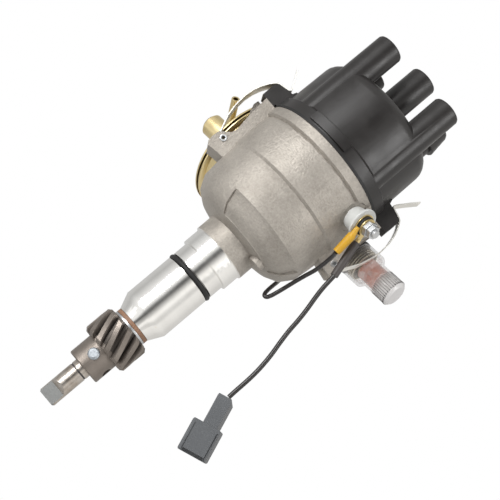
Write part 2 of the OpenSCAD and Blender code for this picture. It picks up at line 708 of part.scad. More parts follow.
module stationary_plate() {
    color(e_zinc) difference() {
        union() {
            translate([0, 0, ledge_z + 0.02]) intersection() {
                cylinder(r = cavity_up_d / 2 - 0.1, h = plate_t - 0.02);
                rotate([0, 0, vac_turn]) translate([-cavity_up_d, -cavity_up_d, 0])
                    cube([2 * cavity_up_d, cavity_up_d + vac_off - tube_r - 1, plate_t]);
            }
            translate([0, 0, ledge_z + 0.02]) cylinder(r = collar_r, h = 2 * plate_t + 0.2);
        }
        translate([0, 0, ledge_z - past]) cylinder(r = 11.2, h = 8);
        for (turn = plate_screw_turns) rotate([0, 0, turn]) translate([plate_screw_r, 0, ledge_z - past])
            cylinder(r = 1.6, h = 5);
    }
}

module plate_screws() {
    color(e_zinc) for (turn = plate_screw_turns) rotate([0, 0, turn]) translate([plate_screw_r, 0, 0]) difference() {
        union() {
            translate([0, 0, ledge_top]) cylinder(r = screw_head_r, h = 1.6);
            translate([0, 0, ledge_z - 4.6]) cylinder(r = 1.5, h = 4.6 + plate_t);
        }
        translate([-3, -0.35, ledge_top + 1]) cube([6, 0.7, 1]);
    }
}

module breaker_plate() {
    color(e_zinc) {
        difference() {
            union() {
                translate([0, 0, plate_z]) cylinder(r = plate_r, h = plate_t);
                // Pivot post of the contact arm and the pin that the vacuum rod pulls
                translate([-13, -15, plate_top]) cylinder(r = 1.8, h = 8);
            }
            translate([0, 0, plate_z - past]) cylinder(r = collar_r + run_gap, h = plate_t + 2 * past);
        }
        rotate([0, 0, vac_turn - plate_swing / 2]) translate([0, rod_pin_r, plate_z]) cylinder(r = rod_pin_pin_r, h = plate_t + 3);
    }
}

module fixed_contact() {
    color(e_steel) {
        translate([8, -20, plate_top]) cube([9, 6, 0.8]);
        translate([13, -15.2, plate_top]) cube([4, 1.2, 6.4]);
        translate([15, -15.2, plate_top + 4]) rotate([90, 0, 0]) cylinder(r = 1.6, h = 0.7);
        translate([10.6, -17.6, plate_top + 0.8]) cylinder(r = 2.2, h = 1.3);
    }
}

module contact_arm() {
    color(e_brass) difference() {
        union() {
            translate([-13, -15, plate_top + 2.4]) cylinder(r = 3.4, h = 4);
            translate([-13, -17.2, plate_top + 2.4]) cube([13.4, 1.2, 4]);
            translate([0, -17.2, plate_top + 2.4]) cube([17, 0.8, 4]);
            // Fibre heel that rides on the cam
            translate([-1.6, -16.6, plate_top + 2.4]) cube([3.2, 16.6 - cam_r - cam_lift - 0.12, 4]);
            translate([15, -16.5, plate_top + 4]) rotate([-90, 0, 0]) cylinder(r = 1.6, h = 0.25);
        }
        translate([-13, -15, plate_top]) cylinder(r = 1.8 + run_gap, h = 9);
    }
}

module arm_spring() {
    color(e_steel) translate([-11, -20.4, plate_top + 0.1]) {
        cube([4, 3, 1.6]);
        translate([0, 0.6, 1.5]) cube([12, 0.3, 3]);
    }
}

// Profile of the insulator: a domed foot with a flange on its end
insulator_profile = [[0, 0], [7.6, 0], [7.5, 1.2], [7.1, 2.6], [6.5, 4], [6.1, 4.9], [7.8, 5.1], [8, 5.4],
    [8, 6.3], [7.7, 6.6], [0, 6.6]];

module terminal_insulator() {
    color("#e9e9e4") difference() {
        union() {
            along_terminal(insulator_at) rotate_extrude() polygon(insulator_profile);
            along_terminal(bolt_head_at + 1.65) cylinder(r = 4.1, h = insulator_at - bolt_head_at - 1.6);
        }
        along_terminal(bolt_head_at - 0.8) cylinder(r = 2 + seat_gap, h = 20);
    }
}

module terminal_bolt() {
    color(e_zinc) {
        along_terminal(bolt_head_at + 1.6) cylinder(r = 2, h = nut_at + 2 * nut_h - bolt_head_at - 0.1);
        along_terminal(bolt_head_at) cylinder(r = 3.6, h = 1.6);
    }
}

module terminal_washer() {
    color(e_rubber) along_terminal(washer_at) ring(5, 2 + seat_gap, washer_t);
}

module terminal_nuts() {
    color(e_zinc) for (at = [nut_at, nut_at + nut_h + 0.05]) along_terminal(at) difference() {
        hexagon(7.2, nut_h);
        translate([0, 0, -past]) cylinder(r = 2 + seat_gap, h = 5);
    }
}

// Ring round the bolt, and a crimped barrel from near the ring to the lead's sleeve
module lead_tag(at, ring_r, end, barrel_r, start_r) {
    away = [end[1], end[2]] / norm([end[1], end[2]]);
    along_terminal(at) ring(ring_r, 2 + seat_gap, tag_t);
    along_terminal(at) rotate([0, 0, atan2(away[1], away[0])]) translate([ring_r - 0.6, -1.4, 0])
        cube([start_r + 0.8 - ring_r, 2.8, tag_t]);
    rod_between(terminal_point([at + tag_t / 2, start_r * away[0], start_r * away[1]]), terminal_point(end),
        barrel_r, barrel_r);
}

module lead_tags() {
    color(e_brass) {
        lead_tag(tag_a_at, 5.6, yellow_wide, 0.6, 6);
        lead_tag(tag_b_at, 4.6, [shrink_end[0] + 0.1, shrink_end[1] + 0.9, shrink_end[2] + 0.4], 1.25, 6.4);
    }
}

module condenser() {
    color(e_turned) translate([cond_at[0], cond_at[1], cond_z]) {
        cylinder(r = cond_r, h = cond_len);
        translate([0, 0, -1.2]) cylinder(r = 2.6, h = 1.2);
    }
}

module condenser_strap() {
    color(e_zinc) difference() {
        union() {
            translate([cond_at[0], cond_at[1], pad_z - 4]) ring(cond_r + 0.9, cond_r + seat_gap, 8);
            rotate([0, 0, pad_turn]) translate([pad_r + 0.02, -9.2, pad_z - 4]) cube([1, 14.2, 8]);
        }
        along_pad(pad_r - 9) cylinder(r = 2.2, h = 20);
    }
}

module condenser_screw() {
    color(e_zinc) {
        along_pad(pad_r - 5) cylinder(r = 2, h = 6.1);
        along_pad(pad_r + 1.05) hexagon(7, 2.6);
    }
}

module condenser_lead() {
    color(e_rubber) cord(cond_route, cond_lead_d);
}

module yellow_sleeve() {
    color("#e0b030") {
        rod_between(sleeve_top, sleeve_wide + 0.12 * (sleeve_wide - sleeve_top), 0.9, 1.75);
        rod_between(sleeve_wide, sleeve_low, 2.1, 1.9);
    }
}

module primary_lead() {
    color(e_rubber) cord(lead_route, lead_d);
}

module shrink_sleeve() {
    color(e_rubber) rod_between(shrink_top, shrink_low, 2.1, 1.9);
}

// Plan of a box with bevelled edges
module bevelled(w, t, c) {
    x = w / 2;
    y = t / 2;
    polygon([[x - c, -y], [x, c - y], [x, y - c], [x - c, y], [c - x, y], [-x, y - c], [-x, c - y], [c - x, -y]]);
}

module connector() {
    color("#6f7173") along_connector() difference() {
        union() {
            // Narrow back that holds the crimped end
            linear_extrude(plug_back_len + 0.1) bevelled(8.9, 7.4, 0.8);
            translate([1.35, 0, plug_back_len]) linear_extrude(plug_mouth_len) bevelled(15.6, 8.4, 1.2);
        }
        // Mouth for the mating plug
        translate([1.35 - 6.4, -2.8, plug_back_len + 2]) cube([12.8, 5.6, plug_mouth_len]);
        // Latch slot along the narrow side of the mouth
        translate([-6.9, -4.4, plug_back_len + 1.2]) cube([1.2, 1.4, plug_mouth_len]);
    }
}

module connector_blade() {
    color(e_brass) along_connector() translate([1.35 - 3.15, -1.2, plug_back_len + 2.02]) cube([6.3, 2.4, 3.4]);
}

// Profiles of the can's two pressed shells: x is the radius, y runs towards the selector
can_in_profile = [
    [tube_r + seat_gap, can_in + 5.8], [tube_r + can_t, can_in + 5.8], [tube_r + can_t, can_in],
    [can_r - 12, can_in], [can_r - 6, can_in - 2], [can_r - 3.8, can_in - 5], [can_r - 3.6, 1.8],
    [can_r - 0.4, 1.8], [can_r, 1.3], [can_r, 0.6], [can_r - 4.6, 0.6], [can_r - 4.8, can_in - 5.4],
    [can_r - 6.7, can_in - 3], [can_r - 12.2, can_in - can_t], [tube_r + seat_gap, can_in - can_t]];
can_out_profile = [
    [can_r - 4.6, -0.6], [can_r, -0.6], [can_r, -1.3], [can_r - 0.4, -1.8], [can_r - 3.6, -1.8],
    [can_r - 3.9, -3], [can_r - 6, 3.6 - can_out], [can_r - 12, 1.4 - can_out], [15, -can_out],
    [boss_d / 2, -can_out], [boss_d / 2, -can_out - boss_len + 1.5], [boss_d / 2 - 1.5, -can_out - boss_len],
    [0, -can_out - boss_len], [0, -can_out + can_t], [14.8, -can_out + can_t],
    [can_r - 12.2, 2.4 - can_out], [can_r - 6.7, 4.5 - can_out], [can_r - 4.9, -2.8]];

module can_inner() {
    color(e_gold) along_vac(-can_at) rotate_extrude($fn = 96) polygon(can_in_profile);
}

module can_outer() {
    color(e_gold) along_vac(-can_at) difference() {
        rotate_extrude($fn = 96) polygon(can_out_profile);
        // Air way from the nipple into the chamber
        translate([0, 0, nipple_at + can_at]) rotate([90, 0, -nipple_lift]) cylinder(r = 1.1, h = boss_d);
        translate([0, 0, nipple_at + can_at - 2.4]) cylinder(r = 1.8, h = 9);
    }
}

// Places a child on the nipple's axis, with the child's +Z towards its tip
module along_nipple(r = 0) {
    along_vac(nipple_at) rotate([90, 0, -nipple_lift]) translate([0, 0, r]) children();
}

module vacuum_nipple() {
    color(e_gold) along_nipple() difference() {
        union() {
            translate([0, 0, boss_d / 2 + 0.1]) cylinder(r1 = 3.2, r2 = nipple_r, h = 6);
            translate([0, 0, boss_d / 2 + 6]) cylinder(r = nipple_r, h = nipple_len - boss_d / 2 - 6);
        }
        cylinder(r = nipple_r - 0.9, h = nipple_len + past);
    }
}

module diaphragm() {
    color(e_rubber) along_vac(-can_at) difference() {
        union() {
            translate([0, 0, -0.5]) cylinder(r = 23, h = 1);
            translate([0, 0, -1.5]) cylinder(r = 15, h = 1);
        }
        translate([0, 0, -2]) cylinder(r = rod_r + seat_gap, h = 4);
    }
}

module diaphragm_spring() {
    color(e_zinc) along_vac(-can_at - can_out + can_t + 0.1) ring(8, 6.8, can_out - can_t - 1.7);
}

module vacuum_rod() {
    color(e_zinc) {
        along_vac(-can_at - 2.4) cylinder(r = rod_r, h = can_at + 2.4 + 5);
        along_vac(-can_at - 2.4) cylinder(r = 3, h = 0.8);
        // Flat end that hooks over the breaker plate's pin
        rotate([0, 0, vac_turn]) difference() {
            translate([rod_pin_s - 3.2, rod_pin_w - 3.4, plate_top + 0.4]) cube([6.4, vac_off - rod_pin_w + 4, 1.4]);
            translate([rod_pin_s, rod_pin_w, plate_top - past]) cylinder(r = rod_pin_pin_r + 0.25, h = 6);
        }
    }
}

module vacuum_tube() {
    color(e_gold) difference() {
        union() {
            along_vac(-can_at + can_in - 0.9) cylinder(r = tube_r, h = can_at - can_in + 0.9 + tunnel_right);
            along_vac(tunnel_right) cylinder(r = tail_r, h = tail_end - tunnel_right);
        }
        along_vac(-can_at) cylinder(r = tube_bore_r, h = can_at + 9);
        // Window towards the breaker plate
        rotate([0, 0, vac_turn]) translate([-11, vac_off - 10, vac_z - 10]) cube([24, 10, 20]);
    }
}

module octane_screw() {
    color(e_gold) along_vac(knob_at + 0.2) difference() {
        union() {
            cylinder(r = knob_d / 2 - knob_wall - 0.1, h = 3);
            cylinder(r = knob_d / 2 - knob_wall - 0.7, h = 10);
        }
        translate([0, 0, -past]) cylinder(r = tail_r + run_gap, h = 14);
    }
}

module octane_cap() {
    r = knob_d / 2;
    slim = knob_slim_d / 2;
    color("#d8cfcb", 0.6) along_vac(knob_at) rotate_extrude() polygon([
        [r - knob_wall, 0], [r, 0], [r, knob_wide - 2.4], [slim, knob_wide], [slim, knob_wide + knob_slim - 1.4],
        [slim - 1.4, knob_wide + knob_slim], [0, knob_wide + knob_slim], [0, knob_wide + knob_slim - knob_wall],
        [slim - knob_wall, knob_wide + knob_slim - knob_wall], [slim - knob_wall, knob_wide - 0.6],
        [r - knob_wall, knob_wide - 3]]);
}

module octane_insert() {
    color("#c0705a") along_vac(knob_at + knob_wide + 1.6)
        cylinder(r = knob_slim_d / 2 - knob_wall - 0.05, h = knob_slim - knob_wall - 4);
}

module octane_seal() {
    color(e_rubber) along_vac(tunnel_right + 0.05) ring(8.2, tube_r + 0.3, knob_at - tunnel_right - 0.15);
}

// Middle line of a clip's strip, radius and height, from the hinge loop to the finger tail
loop_r = clip_pin_d / 2 + run_gap + clip_t / 2;
clip_path = [
    [clip_r, clip_z - loop_r], [clip_r + 2.2, clip_z - loop_r + 0.6], [clip_r + 5.2, clip_z + 4.1],
    [clip_r + 8, clip_z + 10.1], [clip_r + 9.7, clip_z + 17.1], [clip_r + 10.2, cap_z - 7.3],
    [clip_r + 9.8, cap_z - 2.5], [clip_r + 8.8, cap_z + 1.5], [clip_r + 7.5, cap_z + 4.7],
    [clip_r + 6.2, cap_z + 7.1], [clip_r + 5, cap_z + 8.7], [clip_r + 3.8, cap_z + 9.5],
    [clip_r - 1.8, cap_z + 10.9], [clip_r - 2.4, cap_z + 11.8], [clip_r - 1.8, cap_z + 13.1],
    [clip_r + 1.4, cap_z + 18.1], [clip_r + 4.7, cap_z + 22.9]];
function across(p, i) = let (t = tangent(p, i)) [-t[1], t[0]];
function strip_outline(p, t) = concat(
    [for (i = [0 : len(p) - 1]) p[i] + t / 2 * across(p, i)],
    [for (i = [len(p) - 1 : -1 : 0]) p[i] - t / 2 * across(p, i)]);

module clip(side) {
    color("#c9c4a8") at_side(side) translate([0, clip_w / 2, 0]) rotate([90, 0, 0]) difference() {
        union() {
            linear_extrude(clip_w) polygon(strip_outline(clip_path, clip_t));
            translate([clip_r, clip_z, 0]) cylinder(r = loop_r + clip_t / 2, h = clip_w);
        }
        translate([clip_r, clip_z, -past]) cylinder(r = loop_r - clip_t / 2, h = clip_w + 2 * past);
    }
}
module clip_left() clip(-1);
module clip_right() clip(1);

module clip_pins() {
    color(e_zinc) for (side = [1, -1]) at_side(side)
        translate([clip_r, -rib_w / 2 - 0.4, clip_z]) rotate([-90, 0, 0])
            ring(clip_pin_d / 2, 0.9, rib_w + 0.8);
}

// Outer and inner profiles of the cap without its towers
cap_outer = [
    [0, cap_z], [cap_d / 2, cap_z], [cap_d / 2, cap_z + flange_h - 1.4], [dome_r + 0.9, cap_z + flange_h - 1],
    [dome_r + 0.2, cap_z + flange_h], each [for (a = [0 : 15 : 90])
        [dome_r - dome_round + dome_round * cos(a), dome_z - dome_round + dome_round * sin(a)]], [0, dome_z]];
cap_inner = [[0, cap_z - past], [dome_in_r, cap_z - past], [dome_in_r, dome_in_z - 6],
    [dome_in_r - 1.8, dome_in_z - 1.8], [dome_in_r - 6, dome_in_z], [0, dome_in_z]];
lug_profile = [[lug_out - 12.4, cap_z + 0.5], [cap_d / 2 + 0.7, cap_z + 0.5], [cap_d / 2 + 0.7, lug_low],
    [lug_out - 0.2, lug_low], [lug_out, cap_z + 6.9], [lug_out - 1.2, cap_z + 8.6], [lug_out - 6.8, cap_z + 10.1],
    [lug_out - 9.4, cap_z + 10.5], [lug_out - 10.2, cap_z + 12.7], [lug_out - 12.4, cap_z + 12.7]];

function tower_top(turn) = turn == 45 ? rear_tower_z : tower_z;

module cap() {
    color(e_black) difference() {
        union() {
            difference() {
                union() {
                    rotate_extrude($fn = 128) polygon(cap_outer);
                    for (turn = [45 : 90 : 315]) rotate([0, 0, turn]) translate([tower_r, 0, cap_z + 4])
                        tower(tower_top(turn) - cap_z - 4);
                    // Tapered collar on the back right tower
                    rotate([0, 0, 45]) translate([tower_r, 0, rear_tower_z - 12.2]) rotate_extrude()
                        polygon([[0, 0], [9.2, 0], [9.5, 0.4], [8.1, 11], [7.4, 12.2], [0, 12.2]]);
                    translate([0, 0, dome_z - 2]) tower(centre_z - dome_z + 2);
                    for (side = [1, -1]) at_side(side) translate([0, lug_w / 2, 0]) rotate([90, 0, 0])
                        linear_extrude(lug_w) polygon(lug_profile);
                    // Locating pad on the flange
                    intersection() {
                        translate([0, 0, cap_z + 0.8]) cylinder(r = cap_d / 2 + 1.4, h = flange_h - 2);
                        rotate([0, 0, -118]) translate([0, 0, cap_z]) linear_extrude(flange_h)
                            polygon(cap_d * [[0, 0], [1, 0], [cos(36), sin(36)]]);
                    }
                }
                rotate_extrude($fn = 96) polygon(cap_inner);
            }
            // Guide of the centre brush
            translate([0, 0, dome_in_z - 11.5]) cylinder(r = 5.4, h = 12.5);
        }
        for (turn = [45 : 90 : 315]) rotate([0, 0, turn]) translate([tower_r, 0, 0]) {
            translate([0, 0, tower_top(turn) - socket_len]) cylinder(d = socket_d, h = socket_len + past);
            translate([0, 0, electrode_z]) cylinder(r = 2.6 + seat_gap, h = 30);
        }
        translate([0, 0, centre_z - socket_len]) cylinder(d = socket_d, h = socket_len + past);
        translate([0, 0, blade_z - 6]) cylinder(r = brush_r + run_gap, h = centre_z - blade_z + 6 - socket_len + past);
    }
}

module tower(h) {
    rotate_extrude() polygon([[0, 0], [tower_rad, 0], [tower_rad, h - 1.2], [tower_rad - 0.4, h - 0.4],
        [tower_rad - 1.2, h], [0, h]]);
}

module cap_electrodes() {
    color(e_brass) {
        for (turn = [45 : 90 : 315]) rotate([0, 0, turn]) translate([tower_r, 0, electrode_z]) {
            cylinder(r = 2.6, h = tower_top(turn) - socket_len - electrode_z);
        }
        translate([0, 0, centre_z - socket_len - contact_h]) cylinder(r = brush_r + run_gap - seat_gap, h = contact_h);
    }
}

module centre_brush() {
    color(e_rubber) translate([0, 0, brush_z]) cylinder(r = brush_r, h = brush_len);
}

module brush_spring() {
    color(e_zinc) translate([0, 0, brush_z + brush_len + 0.05])
        ring(brush_r - 0.2, brush_r - 0.8, centre_z - socket_len - contact_h - brush_z - brush_len - 0.1);
}

module cap_seal() {
    color(e_rubber) translate([0, 0, rim_z + 0.04]) ring(rim_d / 2 + 0.3, dome_in_r + 0.4, cap_z - rim_z - 0.08);
}

housing();
upper_bush();
lower_bush();
sealing_ring();
shaft();
drive_gear();
gear_pin();
steel_washers();
fibre_washer();
governor_plate();
weight_a();
weight_b();
weight_springs();
cam();
cam_screw();
rotor();
rotor_blade();
stationary_plate();
plate_screws();
breaker_plate();
fixed_contact();
contact_arm();
arm_spring();
terminal_insulator();
terminal_bolt();
terminal_nuts();
terminal_washer();
lead_tags();
condenser();
condenser_strap();
condenser_screw();
condenser_lead();
yellow_sleeve();
primary_lead();
shrink_sleeve();
connector();
connector_blade();
can_inner();
can_outer();
vacuum_nipple();
diaphragm();
diaphragm_spring();
vacuum_rod();
vacuum_tube();
octane_screw();
octane_cap();
octane_insert();
octane_seal();
clip_left();
clip_right();
clip_pins();
cap();
cap_electrodes();
centre_brush();
brush_spring();
cap_seal();
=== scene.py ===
import json
import math

import bpy
from mathutils import Matrix, Vector


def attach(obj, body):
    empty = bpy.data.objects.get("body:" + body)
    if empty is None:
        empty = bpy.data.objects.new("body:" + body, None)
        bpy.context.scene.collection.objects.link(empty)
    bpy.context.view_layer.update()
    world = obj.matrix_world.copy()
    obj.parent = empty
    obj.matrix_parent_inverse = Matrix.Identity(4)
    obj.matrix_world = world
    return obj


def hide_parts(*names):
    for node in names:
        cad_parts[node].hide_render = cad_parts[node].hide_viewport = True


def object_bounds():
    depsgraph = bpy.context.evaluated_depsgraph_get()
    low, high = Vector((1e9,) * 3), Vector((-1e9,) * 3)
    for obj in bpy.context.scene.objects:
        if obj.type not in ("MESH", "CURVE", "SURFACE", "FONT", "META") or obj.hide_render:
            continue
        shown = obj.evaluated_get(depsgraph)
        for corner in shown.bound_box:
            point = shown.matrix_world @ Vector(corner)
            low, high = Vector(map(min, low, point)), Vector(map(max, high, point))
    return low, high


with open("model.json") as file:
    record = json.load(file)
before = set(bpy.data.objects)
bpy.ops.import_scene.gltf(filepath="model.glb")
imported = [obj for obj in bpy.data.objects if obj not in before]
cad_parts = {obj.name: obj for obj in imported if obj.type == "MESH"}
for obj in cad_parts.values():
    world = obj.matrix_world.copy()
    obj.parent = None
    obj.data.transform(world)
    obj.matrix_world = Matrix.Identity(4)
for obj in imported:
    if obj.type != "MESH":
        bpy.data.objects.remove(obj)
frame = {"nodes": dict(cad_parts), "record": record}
cadLow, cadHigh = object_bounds()
node = frame["nodes"]
mm = 0.001
print("frame loaded:", len(node), "nodes")


# the camera, where the photo was taken from
cameraSet = {
    "place": (0.05624, -0.55573, -0.0799),
    "looks": (-0.084, 0.9801, 0.1798),
    "rightSide": (0.6555, -0.0815, 0.7507),
    "lens": 84.74, "sensor": 36, "nearest": 0.01,
}


def makeCamera():
    looks = Vector(cameraSet["looks"]).normalized()
    right = Vector(cameraSet["rightSide"])
    right = (right - right.dot(looks) * looks).normalized()
    up = right.cross(looks)
    turn = Matrix((right, up, -looks)).transposed().to_4x4()
    bpy.ops.object.camera_add()
    cam = bpy.context.object
    cam.name = "photoCamera"
    cam.matrix_world = Matrix.Translation(cameraSet["place"]) @ turn
    cam.data.sensor_width = cameraSet["sensor"]
    cam.data.lens = cameraSet["lens"]
    cam.data.clip_start = cameraSet["nearest"]
    bpy.context.scene.camera = cam
    return right, up, -looks


sideRight, sideUp, sideNear = makeCamera()
print("camera placed")


# picking and shaping
edgeSet = {"segments": 2, "sharpFrom": 32, "merge": 0.000004, "flatWithin": 0.6, "faceWeight": 100}


def pickNone():
    if bpy.context.object and bpy.context.object.mode != "OBJECT":
        bpy.ops.object.mode_set(mode="OBJECT")
    bpy.ops.object.select_all(action="DESELECT")


def pick(obj):
    pickNone()
    obj.select_set(True)
    bpy.context.view_layer.objects.active = obj


def settle(obj):  # place, turn and size go into the mesh
    pick(obj)
    bpy.ops.object.transform_apply(location=True, rotation=True, scale=True)


def copyOf(obj):
    pick(obj)
    bpy.ops.object.duplicate()
    return bpy.context.object


def addBevel(obj, width, segments=edgeSet["segments"]):
    pick(obj)
    bevel = obj.modifiers.new("softEdges", "BEVEL")
    bevel.width = width
    bevel.segments = segments
    bevel.limit_method = "ANGLE"
    bevel.angle_limit = math.radians(edgeSet["sharpFrom"])
    bevel.use_clamp_overlap = True
    bevel.miter_outer = "MITER_ARC"
    bpy.ops.object.modifier_apply(modifier=bevel.name)


def smoothShade(obj):
    pick(obj)
    bpy.ops.object.shade_smooth_by_angle(angle=math.radians(edgeSet["sharpFrom"]))
    even = obj.modifiers.new("evenNormals", "WEIGHTED_NORMAL")
    even.weight = edgeSet["faceWeight"]
    even.keep_sharp = True
    bpy.ops.object.modifier_apply(modifier=even.name)


def choose(piece, test):  # leaves edit mode on with the wanted points selected
    pick(piece)
    bpy.ops.object.mode_set(mode="EDIT")
    bpy.ops.mesh.select_mode(type="VERT")
    bpy.ops.mesh.select_all(action="DESELECT")
    bpy.ops.object.mode_set(mode="OBJECT")
    for vert in piece.data.vertices:
        vert.select = test(vert.co / mm)
    bpy.ops.object.mode_set(mode="EDIT")


def widen(piece, test, share):  # sideways from the Z axis
    choose(piece, test)
    bpy.ops.transform.resize(value=(share, share, 1), center_override=(0, 0, 0))
    bpy.ops.object.mode_set(mode="OBJECT")


def shift(piece, test, move):
    choose(piece, test)
    bpy.ops.transform.translate(value=Vector(move) * mm)
    bpy.ops.object.mode_set(mode="OBJECT")


def cutAcross(piece, heights):  # extra edge loops at level cuts
    pick(piece)
    bpy.ops.object.mode_set(mode="EDIT")
    for height in heights:
        bpy.ops.mesh.select_all(action="SELECT")
        bpy.ops.mesh.bisect(plane_co=(0, 0, height * mm), plane_no=(0, 0, 1))
    bpy.ops.object.mode_set(mode="OBJECT")


def addBox(low, high):
    pickNone()
    bpy.ops.mesh.primitive_cube_add(size=1, location=(Vector(low) + Vector(high)) / 2 * mm)
    box = bpy.context.object
    box.scale = (Vector(high) - Vector(low)) * mm
    settle(box)
    return box


def carve(piece, low, high):  # takes a box out of a piece
    cutter = addBox(low, high)
    pick(piece)
    cut = piece.modifiers.new("carve", "BOOLEAN")
    cut.object = cutter
    bpy.ops.object.modifier_apply(modifier=cut.name)
    pick(cutter)
    bpy.ops.object.delete()


def joinTo(piece, extras):
    pickNone()
    for extra in extras:
        extra.select_set(True)
    piece.select_set(True)
    bpy.context.view_layer.objects.active = piece
    bpy.ops.object.join()


def far(spot):  # distance from the Z axis
    return math.hypot(spot.x, spot.y)


def onRing(spot, height, least, most, within):  # level with height, least to most from the axis
    return abs(spot.z - height) < within and least < far(spot) < most


# slanting pieces are laid down with their axis on Z, shaped, and stood up again
def axisFrame(turn, place, tilt):  # tilted round Y, moved, then turned round Z
    turned = Matrix.Rotation(math.radians(turn), 4, "Z")
    tilted = Matrix.Rotation(math.radians(tilt), 4, "Y")
    return turned @ Matrix.Translation(Vector(place) * mm) @ tilted


axisOf = {
    "terminal": axisFrame(-33.6, (36.65, 0, 66), 90),
    "knob": axisFrame(-22.5, (34, 35, 63.5), 90),
    "connector": axisFrame(0, (55, -19.4, -34.2), 159.7),
}


def moveBy(piece, matrix):
    piece.matrix_world = matrix
    settle(piece)


def layDown(piece, axisName):
    moveBy(piece, axisOf[axisName].inverted())


def standUp(piece, axisName):
    moveBy(piece, axisOf[axisName])


# shader nodes, and the surface effects that several finishes share
def addNode(tree, kind, values=None, **settings):
    step = tree.nodes.new(kind)
    for label, value in settings.items():
        setattr(step, label, value)
    for label, value in (values or {}).items():
        step.inputs[label].default_value = value
    return step


def newGroup(name, inputs, outputs):
    group = bpy.data.node_groups.new(name, "ShaderNodeTree")
    for label, value in inputs.items():
        socket = group.interface.new_socket(
            label, in_out="INPUT", socket_type="NodeSocketFloat"
        )
        socket.default_value = value
    for label in outputs:
        group.interface.new_socket(label, in_out="OUTPUT", socket_type="NodeSocketFloat")
    return group, addNode(group, "NodeGroupInput"), addNode(group, "NodeGroupOutput")


grainSet = {"detail": 5, "toneScale": 60, "toneDetail": 6, "pitShare": 0.35}


def makeCastGrain():
    group, start, end = newGroup("castGrain", {"Grain": 1500, "Pits": 500}, ["Height", "Tone"])
    coords = addNode(group, "ShaderNodeTexCoord")
    grain = addNode(group, "ShaderNodeTexNoise", {"Detail": grainSet["detail"]})
    pits = addNode(group, "ShaderNodeTexVoronoi")
    tone = addNode(
        group, "ShaderNodeTexNoise",
        {"Scale": grainSet["toneScale"], "Detail": grainSet["toneDetail"]},
    )
    join = addNode(
        group, "ShaderNodeMath", {1: grainSet["pitShare"]}, operation="MULTIPLY_ADD"
    )
    links = group.links
    for texture in (grain, pits, tone):
        links.new(coords.outputs["Object"], texture.inputs["Vector"])
    links.new(start.outputs["Grain"], grain.inputs["Scale"])
    links.new(start.outputs["Pits"], pits.inputs["Scale"])
    links.new(pits.outputs["Distance"], join.inputs[0])
    links.new(grain.outputs["Fac"], join.inputs[2])
    links.new(join.outputs[0], end.inputs["Height"])
    links.new(tone.outputs["Fac"], end.inputs["Tone"])
    return group


smudgeSet = {"detail": 7, "roughness": 0.6, "from": 0.35, "to": 0.65}


def makeSmudges():
    group, start, end = newGroup(
        "smudges", {"Size": 60, "Low": 0.2, "High": 0.5}, ["Roughness", "Mask"]
    )
    coords = addNode(group, "ShaderNodeTexCoord")
    noise = addNode(
        group, "ShaderNodeTexNoise",
        {"Detail": smudgeSet["detail"], "Roughness": smudgeSet["roughness"]},
    )
    spread = addNode(
        group, "ShaderNodeMapRange",
        {"From Min": smudgeSet["from"], "From Max": smudgeSet["to"]},
    )
    links = group.links
    links.new(coords.outputs["Object"], noise.inputs["Vector"])
    links.new(start.outputs["Size"], noise.inputs["Scale"])
    links.new(start.outputs["Low"], spread.inputs["To Min"])
    links.new(start.outputs["High"], spread.inputs["To Max"])
    links.new(noise.outputs["Fac"], spread.inputs["Value"])
    links.new(spread.outputs["Result"], end.inputs["Roughness"])
    links.new(noise.outputs["Fac"], end.inputs["Mask"])
    return group


lineSet = {"detail": 6, "roughness": 0.7, "broadScale": 130}


def makeTurnedLines():  # fine rings round the shaft's axis
    group, start, end = newGroup("turnedLines", {"Lines": 900}, ["Height", "Tone"])
    coords = addNode(group, "ShaderNodeTexCoord")
    split = addNode(group, "ShaderNodeSeparateXYZ")
    noise = addNode(
        group, "ShaderNodeTexNoise",
        {"Detail": lineSet["detail"], "Roughness": lineSet["roughness"]}, noise_dimensions="1D",
    )
    broad = addNode(
        group, "ShaderNodeTexNoise", {"Scale": lineSet["broadScale"]}, noise_dimensions="1D"
    )
    links = group.links
    links.new(coords.outputs["Object"], split.inputs[0])
    links.new(split.outputs["Z"], noise.inputs["W"])
    links.new(split.outputs["Z"], broad.inputs["W"])
    links.new(start.outputs["Lines"], noise.inputs["Scale"])
    links.new(noise.outputs["Fac"], end.inputs["Height"])
    links.new(broad.outputs["Fac"], end.inputs["Tone"])
    return group


castGrain = makeCastGrain()
smudges = makeSmudges()
turnedLines = makeTurnedLines()
print("shared effects built")


def newMaterial(name, color, metallic, roughness):
    mat = bpy.data.materials.new(name)
    mat.use_nodes = True
    shader = mat.node_tree.nodes["Principled BSDF"]
    shader.inputs["Base Color"].default_value = (*color, 1)
    shader.inputs["Metallic"].default_value = metallic
    shader.inputs["Roughness"].default_value = roughness
    return mat, shader


def placeGroup(mat, group, **values):
    return addNode(mat.node_tree, "ShaderNodeGroup", values, node_tree=group)


def mixColors(mat, factor, dark, light):
    mix = addNode(
        mat.node_tree, "ShaderNodeMix", {"A": (*dark, 1), "B": (*light, 1)}, data_type="RGBA"
    )
    mat.node_tree.links.new(factor, mix.inputs["Factor"])
    return mix.outputs["Result"]


def multiplyColors(mat, first, second):
    mix = addNode(
        mat.node_tree, "ShaderNodeMix", {"Factor": 1}, data_type="RGBA", blend_type="MULTIPLY"
    )
    mat.node_tree.links.new(first, mix.inputs["A"])
    mat.node_tree.links.new(second, mix.inputs["B"])
    return mix.outputs["Result"]


def paint(mat, shader, color, marks):
    mat.node_tree.links.new(color, shader.inputs["Base Color"])
    mat.node_tree.links.new(marks.outputs["Roughness"], shader.inputs["Roughness"])


def bumpFrom(mat, shader, height, distance, strength):
    bump = addNode(
        mat.node_tree, "ShaderNodeBump", {"Strength": strength, "Distance": distance}
    )
    mat.node_tree.links.new(height, bump.inputs["Height"])
    mat.node_tree.links.new(bump.outputs["Normal"], shader.inputs["Normal"])


